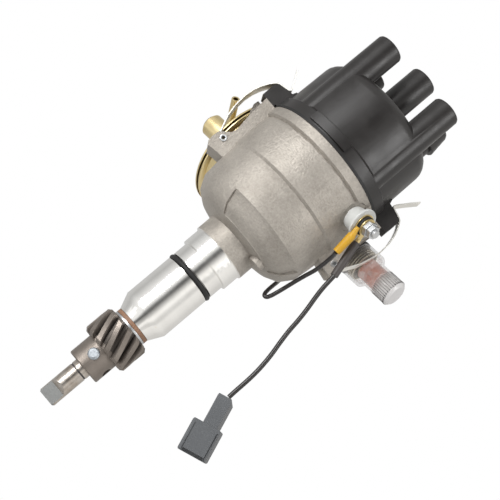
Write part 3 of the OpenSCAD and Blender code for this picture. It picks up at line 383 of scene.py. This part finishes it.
# finishes
castSet = {
    "dark": (0.27, 0.245, 0.212), "light": (0.52, 0.48, 0.43), "metallic": 0.48,
    "speckleDark": (0.7, 0.7, 0.7), "speckleLight": (1.12, 1.12, 1.12),
    "bump": 0.00035, "texture": 0.7,
}


def castAluminium():
    mat, shader = newMaterial("castAluminium", (0.38, 0.35, 0.32), castSet["metallic"], 0.5)
    grain = placeGroup(mat, castGrain, Grain=1100, Pits=620)
    marks = placeGroup(mat, smudges, Size=45, Low=0.46, High=0.62)
    tone = mixColors(mat, grain.outputs["Tone"], castSet["dark"], castSet["light"])
    speckle = mixColors(
        mat, grain.outputs["Height"], castSet["speckleDark"], castSet["speckleLight"]
    )
    paint(mat, shader, multiplyColors(mat, tone, speckle), marks)
    bumpFrom(mat, shader, grain.outputs["Height"], castSet["bump"], castSet["texture"])
    return mat


turnedSet = {
    "dark": (0.8, 0.79, 0.77), "light": (0.93, 0.925, 0.905), "bump": 0.00006, "texture": 0.5,
}


def turnedAluminium():
    mat, shader = newMaterial("turnedAluminium", (0.86, 0.86, 0.85), 1.0, 0.15)
    lines = placeGroup(mat, turnedLines, Lines=1500)
    marks = placeGroup(mat, smudges, Size=70, Low=0.1, High=0.2)
    tone = mixColors(mat, lines.outputs["Tone"], turnedSet["dark"], turnedSet["light"])
    paint(mat, shader, tone, marks)
    bumpFrom(mat, shader, lines.outputs["Height"], turnedSet["bump"], turnedSet["texture"])
    return mat


gearSet = {  # metres from the shaft's axis, and height where the teeth begin
    "rootR": 10.6 * mm, "landR": 12.6 * mm, "rootShade": 0.35, "teethFrom": -60.2 * mm,
    "dark": (0.17, 0.145, 0.125), "light": (0.29, 0.255, 0.225), "bump": 0.00012, "texture": 0.5,
}


def sinteredGear():  # oily grey-brown, with painted shade darker between the teeth
    mat, shader = newMaterial("sinteredGear", (0.15, 0.13, 0.11), 0.7, 0.42)
    tree = mat.node_tree
    marks = placeGroup(mat, smudges, Size=150, Low=0.36, High=0.55)
    grain = placeGroup(mat, castGrain, Grain=1900, Pits=900)
    tone = mixColors(mat, marks.outputs["Mask"], gearSet["dark"], gearSet["light"])
    coords = addNode(tree, "ShaderNodeTexCoord")
    flat = addNode(tree, "ShaderNodeVectorMath", {1: (1, 1, 0)}, operation="MULTIPLY")
    outward = addNode(tree, "ShaderNodeVectorMath", operation="LENGTH")
    # painted shade: darker from the tooth lands down to the roots, none on the hub
    depth = addNode(tree, "ShaderNodeMapRange", {
        "From Min": gearSet["rootR"], "From Max": gearSet["landR"], "To Min": gearSet["rootShade"],
    })
    split = addNode(tree, "ShaderNodeSeparateXYZ")
    onHub = addNode(tree, "ShaderNodeMath", {1: gearSet["teethFrom"]}, operation="LESS_THAN")
    paintedShade = addNode(tree, "ShaderNodeMath", operation="MAXIMUM")
    links = tree.links
    links.new(coords.outputs["Object"], flat.inputs[0])
    links.new(flat.outputs["Vector"], outward.inputs[0])
    links.new(outward.outputs["Value"], depth.inputs["Value"])
    links.new(coords.outputs["Object"], split.inputs[0])
    links.new(split.outputs["Z"], onHub.inputs[0])
    links.new(depth.outputs["Result"], paintedShade.inputs[0])
    links.new(onHub.outputs[0], paintedShade.inputs[1])
    paint(mat, shader, multiplyColors(mat, tone, paintedShade.outputs[0]), marks)
    bumpFrom(mat, shader, grain.outputs["Height"], gearSet["bump"], gearSet["texture"])
    return mat


plainSet = {"metalBump": 0.0001, "plasticBump": 0.00003, "grain": 2600, "pits": 1500}


def plainMetal(name, dark, light, low, high, size=90, metallic=1.0, texture=0.25):
    mat, shader = newMaterial(name, light, metallic, low)
    marks = placeGroup(mat, smudges, Size=size, Low=low, High=high)
    paint(mat, shader, mixColors(mat, marks.outputs["Mask"], dark, light), marks)
    bumpFrom(mat, shader, marks.outputs["Mask"], plainSet["metalBump"], texture)
    return mat


def plainPlastic(name, dark, light, low, high, size=120, specular=0.5, texture=0.35):
    mat, shader = newMaterial(name, light, 0.0, low)
    shader.inputs["Specular IOR Level"].default_value = specular
    marks = placeGroup(mat, smudges, Size=size, Low=low, High=high)
    paint(mat, shader, mixColors(mat, marks.outputs["Mask"], dark, light), marks)
    grain = placeGroup(mat, castGrain, Grain=plainSet["grain"], Pits=plainSet["pits"])
    bumpFrom(mat, shader, grain.outputs["Height"], plainSet["plasticBump"], texture)
    return mat


knobAlong = (0.9239, -0.3827, 0)  # direction of the vacuum unit's axis towards the clear cap


def riseAlong(mat, start, end, most=1.0):  # 0 before start, most from end on
    tree = mat.node_tree
    coords = addNode(tree, "ShaderNodeTexCoord")
    along = addNode(tree, "ShaderNodeVectorMath", {1: knobAlong}, operation="DOT_PRODUCT")
    rise = addNode(
        tree, "ShaderNodeMapRange", {"From Min": start, "From Max": end, "To Max": most}
    )
    tree.links.new(coords.outputs["Object"], along.inputs[0])
    tree.links.new(along.outputs["Value"], rise.inputs["Value"])
    return rise.outputs["Result"]


waxSet = {
    "pink": (0.74, 0.27, 0.18), "pale": (0.95, 0.88, 0.84),
    "pinkTo": 51 * mm, "paleFrom": 58 * mm, "patches": 260, "patchShare": 0.55,
}


def patchyWax():  # pink inside, fading in patches to pale at the outer end
    mat, shader = newMaterial("patchyWax", (0.5, 0.3, 0.25), 0.0, 0.45)
    links = mat.node_tree.links
    marks = placeGroup(
        mat, smudges, Size=waxSet["patches"], Low=-waxSet["patchShare"], High=waxSet["patchShare"]
    )
    total = addNode(mat.node_tree, "ShaderNodeMath", operation="ADD", use_clamp=True)
    links.new(riseAlong(mat, waxSet["pinkTo"], waxSet["paleFrom"]), total.inputs[0])
    links.new(marks.outputs["Roughness"], total.inputs[1])
    tone = mixColors(mat, total.outputs[0], waxSet["pink"], waxSet["pale"])
    links.new(tone, shader.inputs["Base Color"])
    return mat


clearSet = {  # cover, and where along the cap it turns frosty
    "faceOn": 0.1, "edgeOn": 0.5, "blend": 0.45,
    "clearTo": 49.5 * mm, "frostFrom": 57.5 * mm, "frost": 0.85,
}


def clearPlastic():  # see-through face on, with painted grey at its edges for the glancing reflection and refraction, frosty at its outer end
    mat, shader = newMaterial("clearPlastic", (0.9, 0.87, 0.85), 0.0, 0.15)
    tree = mat.node_tree
    # painted reflection and refraction: more cover, so greyer, at glancing edges
    edge = addNode(tree, "ShaderNodeLayerWeight", {"Blend": clearSet["blend"]})
    cover = addNode(
        tree, "ShaderNodeMapRange", {"To Min": clearSet["faceOn"], "To Max": clearSet["edgeOn"]}
    )
    most = addNode(tree, "ShaderNodeMath", operation="MAXIMUM")
    frost = riseAlong(mat, clearSet["clearTo"], clearSet["frostFrom"], clearSet["frost"])
    marks = placeGroup(mat, smudges, Size=260, Low=0.08, High=0.22)
    links = tree.links
    links.new(edge.outputs["Facing"], cover.inputs["Value"])
    links.new(cover.outputs["Result"], most.inputs[0])
    links.new(frost, most.inputs[1])
    links.new(most.outputs[0], shader.inputs["Alpha"])
    links.new(marks.outputs["Roughness"], shader.inputs["Roughness"])
    return mat


# dark tone, light tone, least and most roughness, then patch size, metallic or shine, texture
finish = {
    "cast": castAluminium(),
    "turned": turnedAluminium(),
    "bronze": plainMetal("sinteredBronze", (0.4, 0.25, 0.12), (0.6, 0.4, 0.2), 0.4, 0.6),
    "steel": plainMetal("groundSteel", (0.32, 0.3, 0.28), (0.55, 0.53, 0.5), 0.28, 0.5),
    "gear": sinteredGear(),
    "zinc": plainMetal("zincPlate", (0.42, 0.43, 0.44), (0.68, 0.69, 0.7), 0.26, 0.44),
    "pinZinc": plainMetal(
        "pinZinc", (0.06, 0.08, 0.1), (0.8, 0.84, 0.88), 0.4, 0.6, 800, 0.8
    ),
    "polished": plainMetal(
        "polishedShaft", (0.2, 0.13, 0.07), (0.74, 0.72, 0.69), 0.2, 0.32, 170, 1.0, 0.02
    ),
    "tongue": plainMetal(
        "tongueSteel", (0.2, 0.205, 0.2), (0.33, 0.335, 0.33), 0.5, 0.7, 160, 0.6
    ),
    # painted shade: the screw body under the thread rings is near black, for the shade between
    # them
    "threadDark": plainMetal(
        "threadRoots", (0.05, 0.04, 0.025), (0.16, 0.13, 0.08), 0.4, 0.55, 160
    ),
    "thread": plainMetal(
        "threadMetal", (0.3, 0.26, 0.18), (0.75, 0.69, 0.55), 0.25, 0.4, 160
    ),
    "spring": plainMetal("springSteel", (0.8, 0.785, 0.73), (0.97, 0.96, 0.92), 0.36, 0.52),
    "brass": plainMetal("brass", (0.55, 0.4, 0.16), (0.82, 0.66, 0.34), 0.2, 0.4),
    "gold": plainMetal(
        "yellowChromate", (0.62, 0.46, 0.2), (0.86, 0.76, 0.48), 0.22, 0.42, 60
    ),
    "condenser": plainMetal("drawnAluminium", (0.6, 0.6, 0.6), (0.8, 0.8, 0.8), 0.25, 0.4),
    "black_plastic": plainPlastic(
        "capPlastic", (0.014, 0.0125, 0.012), (0.025, 0.0225, 0.0215), 0.3, 0.42, 120, 0.45
    ),
    "rubber": plainPlastic(
        "blackRubber", (0.008, 0.008, 0.008), (0.02, 0.02, 0.02), 0.5, 0.65, 120, 0.4
    ),
    "fibre": plainPlastic(
        "pressedFibre", (0.22, 0.115, 0.065), (0.36, 0.2, 0.12), 0.45, 0.65, 300
    ),
    "white_plastic": plainPlastic(
        "whiteNylon", (0.6, 0.61, 0.585), (0.7, 0.7, 0.675), 0.3, 0.45
    ),
    "yellow": plainPlastic("yellowSleeve", (0.58, 0.3, 0.012), (0.7, 0.4, 0.025), 0.3, 0.45),
    "grey_plastic": plainPlastic(
        "greyPlastic", (0.115, 0.12, 0.126), (0.14, 0.146, 0.152), 0.4, 0.5, 60, 0.4, 0.0
    ),
    "red": plainPlastic("redWax", (0.5, 0.14, 0.08), (0.62, 0.25, 0.17), 0.35, 0.5),
    "clear": clearPlastic(),
    "jacket": plainPlastic(
        "leadJacket", (0.016, 0.0135, 0.013), (0.03, 0.026, 0.025), 0.26, 0.38, 60, 0.5, 0.0
    ),
    "sleeve": plainPlastic(
        "shrinkSleeve", (0.05, 0.043, 0.04), (0.085, 0.074, 0.07), 0.42, 0.56, 220, 0.4
    ),
    "wax": patchyWax(),
    # painted shade lines along the clear cap's grip ribs
    "ribGrey": plainPlastic("ribGrey", (0.06, 0.052, 0.048), (0.17, 0.15, 0.14), 0.4, 0.5),
    # painted shade for the shaft's shallow groove and the clear cap's end notch
    "ribDark": plainPlastic("ribDark", (0.03, 0.027, 0.026), (0.08, 0.07, 0.07), 0.4, 0.5),
    "ribPale": plainPlastic("ribPale", (0.5, 0.49, 0.48), (0.66, 0.65, 0.64), 0.35, 0.5),
}
print("materials built:", len(finish))


def dress(obj, finishName):
    obj.data.materials.clear()
    obj.data.materials.append(finish[finishName])


slotOf = {part["node"]: part["material_slot"] for part in frame["record"]["subparts"]}
bodyOf = {}
for bodyName, members in frame["record"]["behaviour"]["bodies"].items():
    for member in members:
        bodyOf[member] = bodyName
for name, obj in node.items():
    dress(obj, slotOf[name])


# leads, on the same points as their solids
leadSet = {
    "diameter": 2.3 * mm,
    "points": [
        (45, -23.2, 39.5), (45.3, -22.9, 36.5), (45.9, -22.3, 31.5), (47, -21.6, 26),
        (48.4, -21, 20), (49.6, -20.5, 13.5), (50.5, -20, 7), (51.8, -19.7, 0.5),
        (53.3, -19.5, -6), (54.3, -19.4, -12), (54.9, -19.4, -18), (55.1, -19.4, -24),
        (55.1, -19.4, -29.5), (55.2, -19.4, -33.6),
    ],
}
condenserLeadSet = {
    "diameter": 2.1 * mm,
    "points": [
        (37.4, -25.9, 47.2), (37.6, -22, 45.8), (37.5, -18, 43.4), (37.3, -14.5, 40.2),
        (36.8, -11, 37), (35.7, -7, 33.2), (34.6, -4, 28.6), (33.7, -1, 24.4),
        (32.9, 0.4, 20.2), (32.3, 0.8, 17.2), (31.7, 0.8, 14.8), (30.9, 0.8, 13.2),
        (29.9, 1.2, 12.9), (29.1, 2.2, 14), (28.7, 4.4, 16), (28.4, 8.4, 19.6),
        (28.3, 12, 22.8), (28.1, 16.5, 25.6), (27.7, 20.7, 28), (26.4, 25.2, 29.4),
        (24, 30, 29.8), (20.8, 34.9, 29), (17.8, 38.8, 27.6), (15.4, 41.5, 27),
        (13.8, 42.9, 27.9), (13.1, 43.4, 29.4),
    ],
}
cordSet = {"roundSteps": 4, "lengthSteps": 8}


def makeCord(name, facts):
    line = bpy.data.curves.new(name, "CURVE")
    line.dimensions = "3D"
    line.bevel_depth = facts["diameter"] / 2
    line.bevel_resolution = cordSet["roundSteps"]
    line.use_fill_caps = True
    line.resolution_u = cordSet["lengthSteps"]
    spline = line.splines.new("BEZIER")
    spline.bezier_points.add(len(facts["points"]) - 1)
    for spot, place in zip(spline.bezier_points, facts["points"]):
        spot.co = Vector(place) * mm
        spot.handle_left_type = spot.handle_right_type = "AUTO"
    cord = bpy.data.objects.new(name, line)
    bpy.context.collection.objects.link(cord)
    dress(cord, "jacket")
    cord.visible_glossy = False
    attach(cord, "base")
    return cord


primaryLead = makeCord("primaryLead", leadSet)
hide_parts("primary_lead")
condenserLead = makeCord("condenserLead", condenserLeadSet)
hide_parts("condenser_lead")
print("cords laid")


# the housing
bowlSet = {
    "extraCuts": [45.6, 47.3],
    # height, least and most radius of the points there, and how far they are drawn in, as a share
    "stepDraws": [(47.3, 34.5, 35.4, 0.013), (48.9, 34.7, 35.4, 0.023)],
    "rimDraws": [(69.5, 35.9, 36.3, 0.012), (70.5, 35.5, 35.9, 0.02)],
    # degrees round the axis where each strength of the step begins
    "stepStrength": [
        (-180, 0.1), (-134, 0.3), (-124, 0.55), (-114, 0.8), (-104, 1), (-58, 0.7), (-40, 0.45),
    ],
    "bossEnd": -0.05, "bossLeast": 7.86, "bossMost": 7.94, "bossDraw": -1.3, "within": 0.03,
}


def shapeHousing(piece):  # deeper step and rim groove, lower boss under the terminal
    within = bowlSet["within"]
    cutAcross(piece, bowlSet["extraCuts"])
    for height, least, most, draw in bowlSet["rimDraws"]:
        widen(piece, lambda spot: onRing(spot, height, least, most, within), 1 - draw)
    ends = [start for start, strength in bowlSet["stepStrength"][1:]] + [180]
    for (start, strength), end in zip(bowlSet["stepStrength"], ends):
        for height, least, most, draw in bowlSet["stepDraws"]:
            widen(
                piece, lambda spot: onRing(spot, height, least, most, within)
                and start <= math.degrees(math.atan2(spot.y, spot.x)) < end, 1 - draw * strength,
            )
    layDown(piece, "terminal")
    boss = (bowlSet["bossEnd"], bowlSet["bossLeast"], bowlSet["bossMost"], within)
    shift(piece, lambda spot: onRing(spot, *boss), (0, 0, bowlSet["bossDraw"]))
    standUp(piece, "terminal")


# the terminal
insulatorSet = {
    # height along the terminal, radius share
    "narrowed": [
        (0, 0.74), (0.6, 0.785), (1.2, 0.815), (1.9, 0.842), (2.6, 0.866), (3.07, 0.891),
        (3.53, 0.918), (4, 0.946), (4.45, 0.976),
    ],
    "boreR": 4.6, "footDrop": -1.7, "within": 0.05,
}


def shapeInsulator(piece):  # a slimmer dome that ends in the bowl
    bore, within = insulatorSet["boreR"], insulatorSet["within"]
    layDown(piece, "terminal")
    for height, share in insulatorSet["narrowed"]:
        widen(piece, lambda spot: onRing(spot, height, bore, math.inf, within), share)
    shift(
        piece, lambda spot: onRing(spot, 0, bore, math.inf, within),
        (0, 0, insulatorSet["footDrop"]),
    )
    standUp(piece, "terminal")


nutSet = {"outerFrom": 11.92, "boreR": 2.5, "share": 0.84}


def shapeNuts(piece):  # the outer nut is the smaller one
    layDown(piece, "terminal")
    widen(
        piece, lambda spot: spot.z > nutSet["outerFrom"] and far(spot) > nutSet["boreR"],
        nutSet["share"],
    )
    standUp(piece, "terminal")


# the drive gear and the washers over it
gearEndSet = {"teethFrom": -60.2, "stretch": 1.094, "hiddenWasher": -46.78}


def shapeGear(piece):  # the teeth reach up to the one washer that shows
    choose(piece, lambda spot: spot.z > gearEndSet["teethFrom"])
    bpy.ops.transform.resize(
        value=(1, 1, gearEndSet["stretch"]), center_override=(0, 0, gearEndSet["teethFrom"] * mm)
    )
    bpy.ops.object.mode_set(mode="OBJECT")


def shapeWashers(piece):
    choose(piece, lambda spot: spot.z < gearEndSet["hiddenWasher"])
    bpy.ops.mesh.delete(type="VERT")
    bpy.ops.object.mode_set(mode="OBJECT")


# the clear cap, its screw, seal and wax
knobSet = {
    "threads": [0.9, 2.2, 3.5, 4.8, 6.1], "threadR": 8.0, "threadT": 0.42,
    "ribs": 34, "ribR": 7.02, "ribWide": 0.24, "ribFrom": 18.8, "ribTo": 27.2, "ribThick": 0.24,
    "toothWide": 0.5, "toothFrom": 26.5, "toothTo": 27.4, "toothThick": 0.4,
    "edgeR": 6.35, "edgeT": 0.1, "edgeAt": 28.1, "endR": 5.7, "endAt": 28.4, "endThick": 0.3,
    "screwTop": 8, "screwDraw": -3.9, "waxFoot": 16, "waxDraw": -7.4,
    "sealCut": -1.7, "sealFrom": -1.75, "sealR": 7.6, "sealShare": 1.2,
    "ringSteps": 72, "tubeSteps": 8, "endSteps": 64,
}


def shapeScrew(piece):
    layDown(piece, "knob")
    shift(piece, lambda spot: spot.z > knobSet["screwTop"], (0, 0, knobSet["screwDraw"]))
    standUp(piece, "knob")


def shapeWax(piece):
    layDown(piece, "knob")
    shift(piece, lambda spot: spot.z < knobSet["waxFoot"], (0, 0, knobSet["waxDraw"]))
    standUp(piece, "knob")


def shapeSeal(piece):
    layDown(piece, "knob")
    cutAcross(piece, [knobSet["sealCut"]])
    widen(
        piece, lambda spot: spot.z > knobSet["sealFrom"] and far(spot) > knobSet["sealR"],
        knobSet["sealShare"],
    )
    standUp(piece, "knob")


def addRing(major, minor, height, finishName):
    pickNone()
    bpy.ops.mesh.primitive_torus_add(
        major_radius=major * mm, minor_radius=minor * mm,
        major_segments=knobSet["ringSteps"], minor_segments=knobSet["tubeSteps"],
        location=(0, 0, height * mm),
    )
    ring = bpy.context.object
    settle(ring)
    dress(ring, finishName)
    smoothShade(ring)
    return ring


def addThreads(piece):  # one ring, copied along the screw
    layDown(piece, "knob")
    heights = knobSet["threads"]
    rings = [addRing(knobSet["threadR"], knobSet["threadT"], heights[0], "thread")]
    for height in heights[1:]:
        ring = copyOf(rings[0])
        ring.location = (0, 0, (height - heights[0]) * mm)
        settle(ring)
        rings.append(ring)
    joinTo(piece, rings)
    standUp(piece, "knob")


def addBars(kind, thick, finishName):  # one bar, copied evenly round the Z axis
    start, end, wide = (knobSet[kind + word] for word in ("From", "To", "Wide"))
    inner, outer = knobSet["ribR"] - thick / 2, knobSet["ribR"] + thick / 2
    bars = [addBox((inner, -wide / 2, start), (outer, wide / 2, end))]
    dress(bars[0], finishName)
    for step in range(1, knobSet["ribs"]):
        bar = copyOf(bars[0])
        bar.rotation_euler = (0, 0, 2 * math.pi * step / knobSet["ribs"])
        settle(bar)
        bars.append(bar)
    return bars


def addGrip(piece):  # grip ribs, end teeth and the flat end
    layDown(piece, "knob")
    # the grip ribs are painted dark grey as shade lines on the clear cap
    extras = addBars("rib", knobSet["ribThick"], "ribGrey")
    # the dark end teeth and edge ring are painted shade in the cap's end notch
    extras += addBars("tooth", knobSet["toothThick"], "ribDark")
    extras.append(addRing(knobSet["edgeR"], knobSet["edgeT"], knobSet["edgeAt"], "ribDark"))
    pickNone()
    bpy.ops.mesh.primitive_cylinder_add(
        vertices=knobSet["endSteps"], radius=knobSet["endR"] * mm, depth=knobSet["endThick"] * mm,
        location=(0, 0, knobSet["endAt"] * mm),
    )
    end = bpy.context.object
    settle(end)
    dress(end, "ribPale")
    joinTo(piece, extras + [end])
    standUp(piece, "knob")


# pieces with softened edges: width of the softening, reshaping, additions and own finish
softSet = {
    "housing": 0.5, "cap": 0.45, "drive_gear": 0.25, "shaft": 0.2, "gear_pin": 0.3,
    "steel_washers": 0.15, "fibre_washer": 0.15, "terminal_insulator": 0.5,
    "terminal_bolt": 0.15, "terminal_nuts": 0.2, "terminal_washer": 0.25, "lead_tags": 0.15,
    "condenser": 0.5, "condenser_strap": 0.15, "shrink_sleeve": 0.25, "clip_left": 0.1,
    "clip_right": 0.1, "can_inner": 0.3, "can_outer": 0.3, "vacuum_nipple": 0.2,
    "vacuum_tube": 0.2, "octane_screw": 0.2, "octane_cap": 0.3, "octane_insert": 0.3,
    "octane_seal": 0.25, "clip_pins": 0.2,
}
shapeOf = {
    "housing": shapeHousing, "terminal_insulator": shapeInsulator, "terminal_nuts": shapeNuts,
    "drive_gear": shapeGear, "steel_washers": shapeWashers, "octane_screw": shapeScrew,
    "octane_insert": shapeWax, "octane_seal": shapeSeal,
}
addOf = {"octane_screw": addThreads, "octane_cap": addGrip}
finishOf = {
    "shaft": "polished", "gear_pin": "pinZinc", "shrink_sleeve": "sleeve",
    # the screw body takes the painted shade between its thread rings
    "octane_insert": "wax", "octane_screw": "threadDark",
}
machinedSet = [  # piece, lowest and highest height, finish between them
    ("housing", -60, 9.6, "turned"),
    ("shaft", -97, -87.4, "tongue"),
    # a dark band painted as the shade in the shaft's shallow groove
    ("shaft", -77.75, -76.85, "ribDark"),
]
notMirrored = ["shrink_sleeve", "octane_cap"]


def softNameOf(name):
    words = name.split("_")
    return words[0] + "".join(word.capitalize() for word in words[1:]) + "Soft"


def softCopy(name, width):  # a CAD node's copy with rounded edges
    piece = copyOf(node[name])
    piece.name = softNameOf(name)
    bpy.ops.object.mode_set(mode="EDIT")
    bpy.ops.mesh.select_all(action="SELECT")
    bpy.ops.mesh.remove_doubles(threshold=edgeSet["merge"])
    bpy.ops.mesh.dissolve_limited(angle_limit=math.radians(edgeSet["flatWithin"]))
    bpy.ops.object.mode_set(mode="OBJECT")
    if name in shapeOf:
        shapeOf[name](piece)
    addBevel(piece, width * mm)
    smoothShade(piece)
    return piece


def machine(piece, low, high, finishName):  # faces between two heights get another finish
    piece.data.materials.append(finish[finishName])
    for face in piece.data.polygons:
        heights = [piece.data.vertices[spot].co.z for spot in face.vertices]
        if min(heights) > low * mm and max(heights) < high * mm:
            face.material_index = len(piece.data.materials) - 1


soft = {}
for name, width in softSet.items():
    piece = softCopy(name, width)
    dress(piece, finishOf.get(name, slotOf[name]))
    if name in addOf:
        addOf[name](piece)
    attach(piece, bodyOf[name])
    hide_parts(name)
    piece.visible_glossy = name not in notMirrored
    soft[name] = piece
for name, low, high, finishName in machinedSet:
    machine(soft[name], low, high, finishName)
print("softened pieces:", len(soft))


# the connector
connectorSet = {  # corners of boxes, +Z towards the mouth and -Y to the front
    "back": ((-4.45, -3.7, 0), (4.45, 3.7, 15.5)),
    "mouth": ((-6.45, -4.2, 14.8), (9.15, 4.2, 30.5)),
    "sideTo": -4, "frontTo": -3, "backTo": 0.1,  # the points at a side, the front and the end
    "slope": 1.9, "cornerCut": -2.2, "cornerDrop": 2.4, "softness": 0.8, "softSteps": 3,
    "carved": [
        ((-5.05, -2.8, 16.8), (7.75, 2.8, 31)), ((-4.1, -4.6, 16.6), (-3.4, -3.5, 31)),
        ((7.2, -4.6, 16.6), (7.7, -3.8, 31)), ((-3.3, -4.6, 28.9), (7.1, -2.6, 31)),
    ],
}


def makeConnector():  # latch panel between two grooves, open at the mouth
    side, front, end = (connectorSet[word] for word in ("sideTo", "frontTo", "backTo"))
    back = addBox(*connectorSet["back"])
    body = addBox(*connectorSet["mouth"])
    pick(back)
    bpy.ops.object.mode_set(mode="EDIT")
    bpy.ops.mesh.select_all(action="SELECT")
    bpy.ops.mesh.bisect(plane_co=(connectorSet["cornerCut"] * mm, 0, 0), plane_no=(1, 0, 0))
    bpy.ops.object.mode_set(mode="OBJECT")
    shift(back, lambda spot: spot.x < side and spot.z < end, (0, 0, connectorSet["cornerDrop"]))
    for part in (back, body):
        shift(part, lambda spot: spot.x < side and spot.y < front, (connectorSet["slope"], 0, 0))
        addBevel(part, connectorSet["softness"] * mm, connectorSet["softSteps"])
    for low, high in connectorSet["carved"]:
        carve(body, low, high)
    joinTo(body, [back])
    body.name = "connectorBody"
    smoothShade(body)
    dress(body, "grey_plastic")
    standUp(body, "connector")
    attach(body, bodyOf["connector"])
    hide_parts("connector")
    body.visible_glossy = False


makeConnector()
print("connector made")


# floor, light and background
floorSet = {
    "drop": 60 * mm, "size": 3.0, "tone": (0.9, 0.9, 0.9, 1), "roughness": 0.9,
    "mirrorShare": 0.35,
}
roomSet = {
    "plain": 0.38, "plainTone": (0.97, 0.98, 1.0, 1),
    "mirrorShare": 0.0,  # mirrors show the walls instead
    "halfWay": 0.5,
    "warmRight": (0.982, 0.95),
    "warmLeft": (0.995, 0.98),
    "front": (0.085, -0.996, 0),  # level direction towards the dark end of the room
    "left": (-0.996, -0.085, 0),
    # share of a turn, half way at the front, and how light the wall is there
    "walls": [
        (0.0, 0.62), (0.16, 0.72), (0.24, 0.88), (0.31, 0.95), (0.342, 0.7), (0.37, 0.76),
        (0.4, 1.1), (0.43, 1.05), (0.458, 0.6), (0.478, 0.35), (0.494, 0.12), (0.517, 0.12),
        (0.535, 0.5), (0.556, 1.0), (0.64, 1.0), (0.69, 0.85), (0.75, 0.66), (0.794, 0.52),
        (0.85, 0.6), (1.0, 0.62),
    ],
}


# plain white for the camera and through glass, and by a share in mirrors
def whiteForCamera(tree, kind, mirrorShare):
    paths = addNode(tree, "ShaderNodeLightPath")
    mirrors = addNode(tree, "ShaderNodeMath", {1: mirrorShare}, operation="MULTIPLY_ADD")
    total = addNode(tree, "ShaderNodeMath", operation="ADD", use_clamp=True)
    white = addNode(tree, kind, {"Color": (1, 1, 1, 1), "Strength": 1.0})
    mix = addNode(tree, "ShaderNodeMixShader")
    links = tree.links
    links.new(paths.outputs["Is Glossy Ray"], mirrors.inputs[0])
    links.new(paths.outputs["Is Camera Ray"], mirrors.inputs[2])
    links.new(mirrors.outputs[0], total.inputs[0])
    links.new(paths.outputs["Is Transmission Ray"], total.inputs[1])
    links.new(total.outputs[0], mix.inputs["Fac"])
    links.new(white.outputs[0], mix.inputs[2])
    return mix


def makeWalls(tree):  # light and dark walls round the part, as a colour by direction
    links = tree.links
    coords = addNode(tree, "ShaderNodeTexCoord")
    around = addNode(tree, "ShaderNodeMath", operation="ARCTAN2")
    for place, side in enumerate(("left", "front")):
        along = addNode(tree, "ShaderNodeVectorMath", {1: roomSet[side]}, operation="DOT_PRODUCT")
        links.new(coords.outputs["Generated"], along.inputs[0])
        links.new(along.outputs["Value"], around.inputs[place])
    share = addNode(tree, "ShaderNodeMapRange", {"From Min": -math.pi, "From Max": math.pi})
    ramp = addNode(tree, "ShaderNodeValToRGB")
    stops = ramp.color_ramp.elements
    while len(stops) < len(roomSet["walls"]):
        stops.new(roomSet["halfWay"])
    for stop, (place, light) in zip(stops, roomSet["walls"]):
        stop.position = place
        warm = roomSet["warmRight" if place < roomSet["halfWay"] else "warmLeft"]
        stop.color = (light, light * warm[0], light * warm[1], 1)
    links.new(around.outputs[0], share.inputs["Value"])
    links.new(share.outputs["Result"], ramp.inputs["Fac"])
    return ramp.outputs["Color"]


def makeWorld():
    world = bpy.data.worlds.new("studio")
    bpy.context.scene.world = world
    world.use_nodes = True
    tree = world.node_tree
    tree.nodes.clear()
    out = addNode(tree, "ShaderNodeOutputWorld")
    plain = addNode(
        tree, "ShaderNodeBackground", {"Color": roomSet["plainTone"], "Strength": roomSet["plain"]}
    )
    mirrored = addNode(tree, "ShaderNodeBackground")
    paths = addNode(tree, "ShaderNodeLightPath")
    room = addNode(tree, "ShaderNodeMixShader")
    mix = whiteForCamera(tree, "ShaderNodeBackground", roomSet["mirrorShare"])
    links = tree.links
    links.new(makeWalls(tree), mirrored.inputs["Color"])
    links.new(paths.outputs["Is Glossy Ray"], room.inputs["Fac"])
    links.new(plain.outputs[0], room.inputs[1])
    links.new(mirrored.outputs[0], room.inputs[2])
    links.new(room.outputs[0], mix.inputs[1])
    links.new(mix.outputs[0], out.inputs["Surface"])


def makeFloor():
    pickNone()
    bpy.ops.mesh.primitive_plane_add(
        size=floorSet["size"], location=(0, 0, cadLow.z - floorSet["drop"])
    )
    floor = bpy.context.object
    floor.name = "paleFloor"
    mat = bpy.data.materials.new("palePaper")
    mat.use_nodes = True
    tree = mat.node_tree
    shader = tree.nodes["Principled BSDF"]
    shader.inputs["Base Color"].default_value = floorSet["tone"]
    shader.inputs["Roughness"].default_value = floorSet["roughness"]
    mix = whiteForCamera(tree, "ShaderNodeEmission", floorSet["mirrorShare"])
    tree.links.new(shader.outputs[0], mix.inputs[1])
    tree.links.new(mix.outputs[0], tree.nodes["Material Output"].inputs["Surface"])
    floor.data.materials.append(mat)
    floor.visible_glossy = False


lampSet = [
    # name, share to the right, up and near the camera, size, watts
    ("softboxTop", -0.24, 0.57, 0.62, 0.34, 4.9),
    ("softboxLeft", -0.8, -0.1, 0.35, 0.5, 0.5),
    ("softboxRight", 0.75, -0.15, 0.5, 0.35, 2.2),
]


def makeLamps():
    middle = (cadLow + cadHigh) / 2
    for name, right, up, near, size, watts in lampSet:
        place = middle + sideRight * right + sideUp * up + sideNear * near
        bpy.ops.object.light_add(type="AREA", location=place)
        lamp = bpy.context.object
        lamp.name = name
        lamp.data.shape = "SQUARE"
        lamp.data.size = size
        lamp.data.energy = watts
        lamp.rotation_euler = (middle - place).to_track_quat("-Z", "Y").to_euler()


makeWorld()
makeFloor()
makeLamps()
bpy.context.scene.view_settings.view_transform = "Standard"
print("stage and light ready")
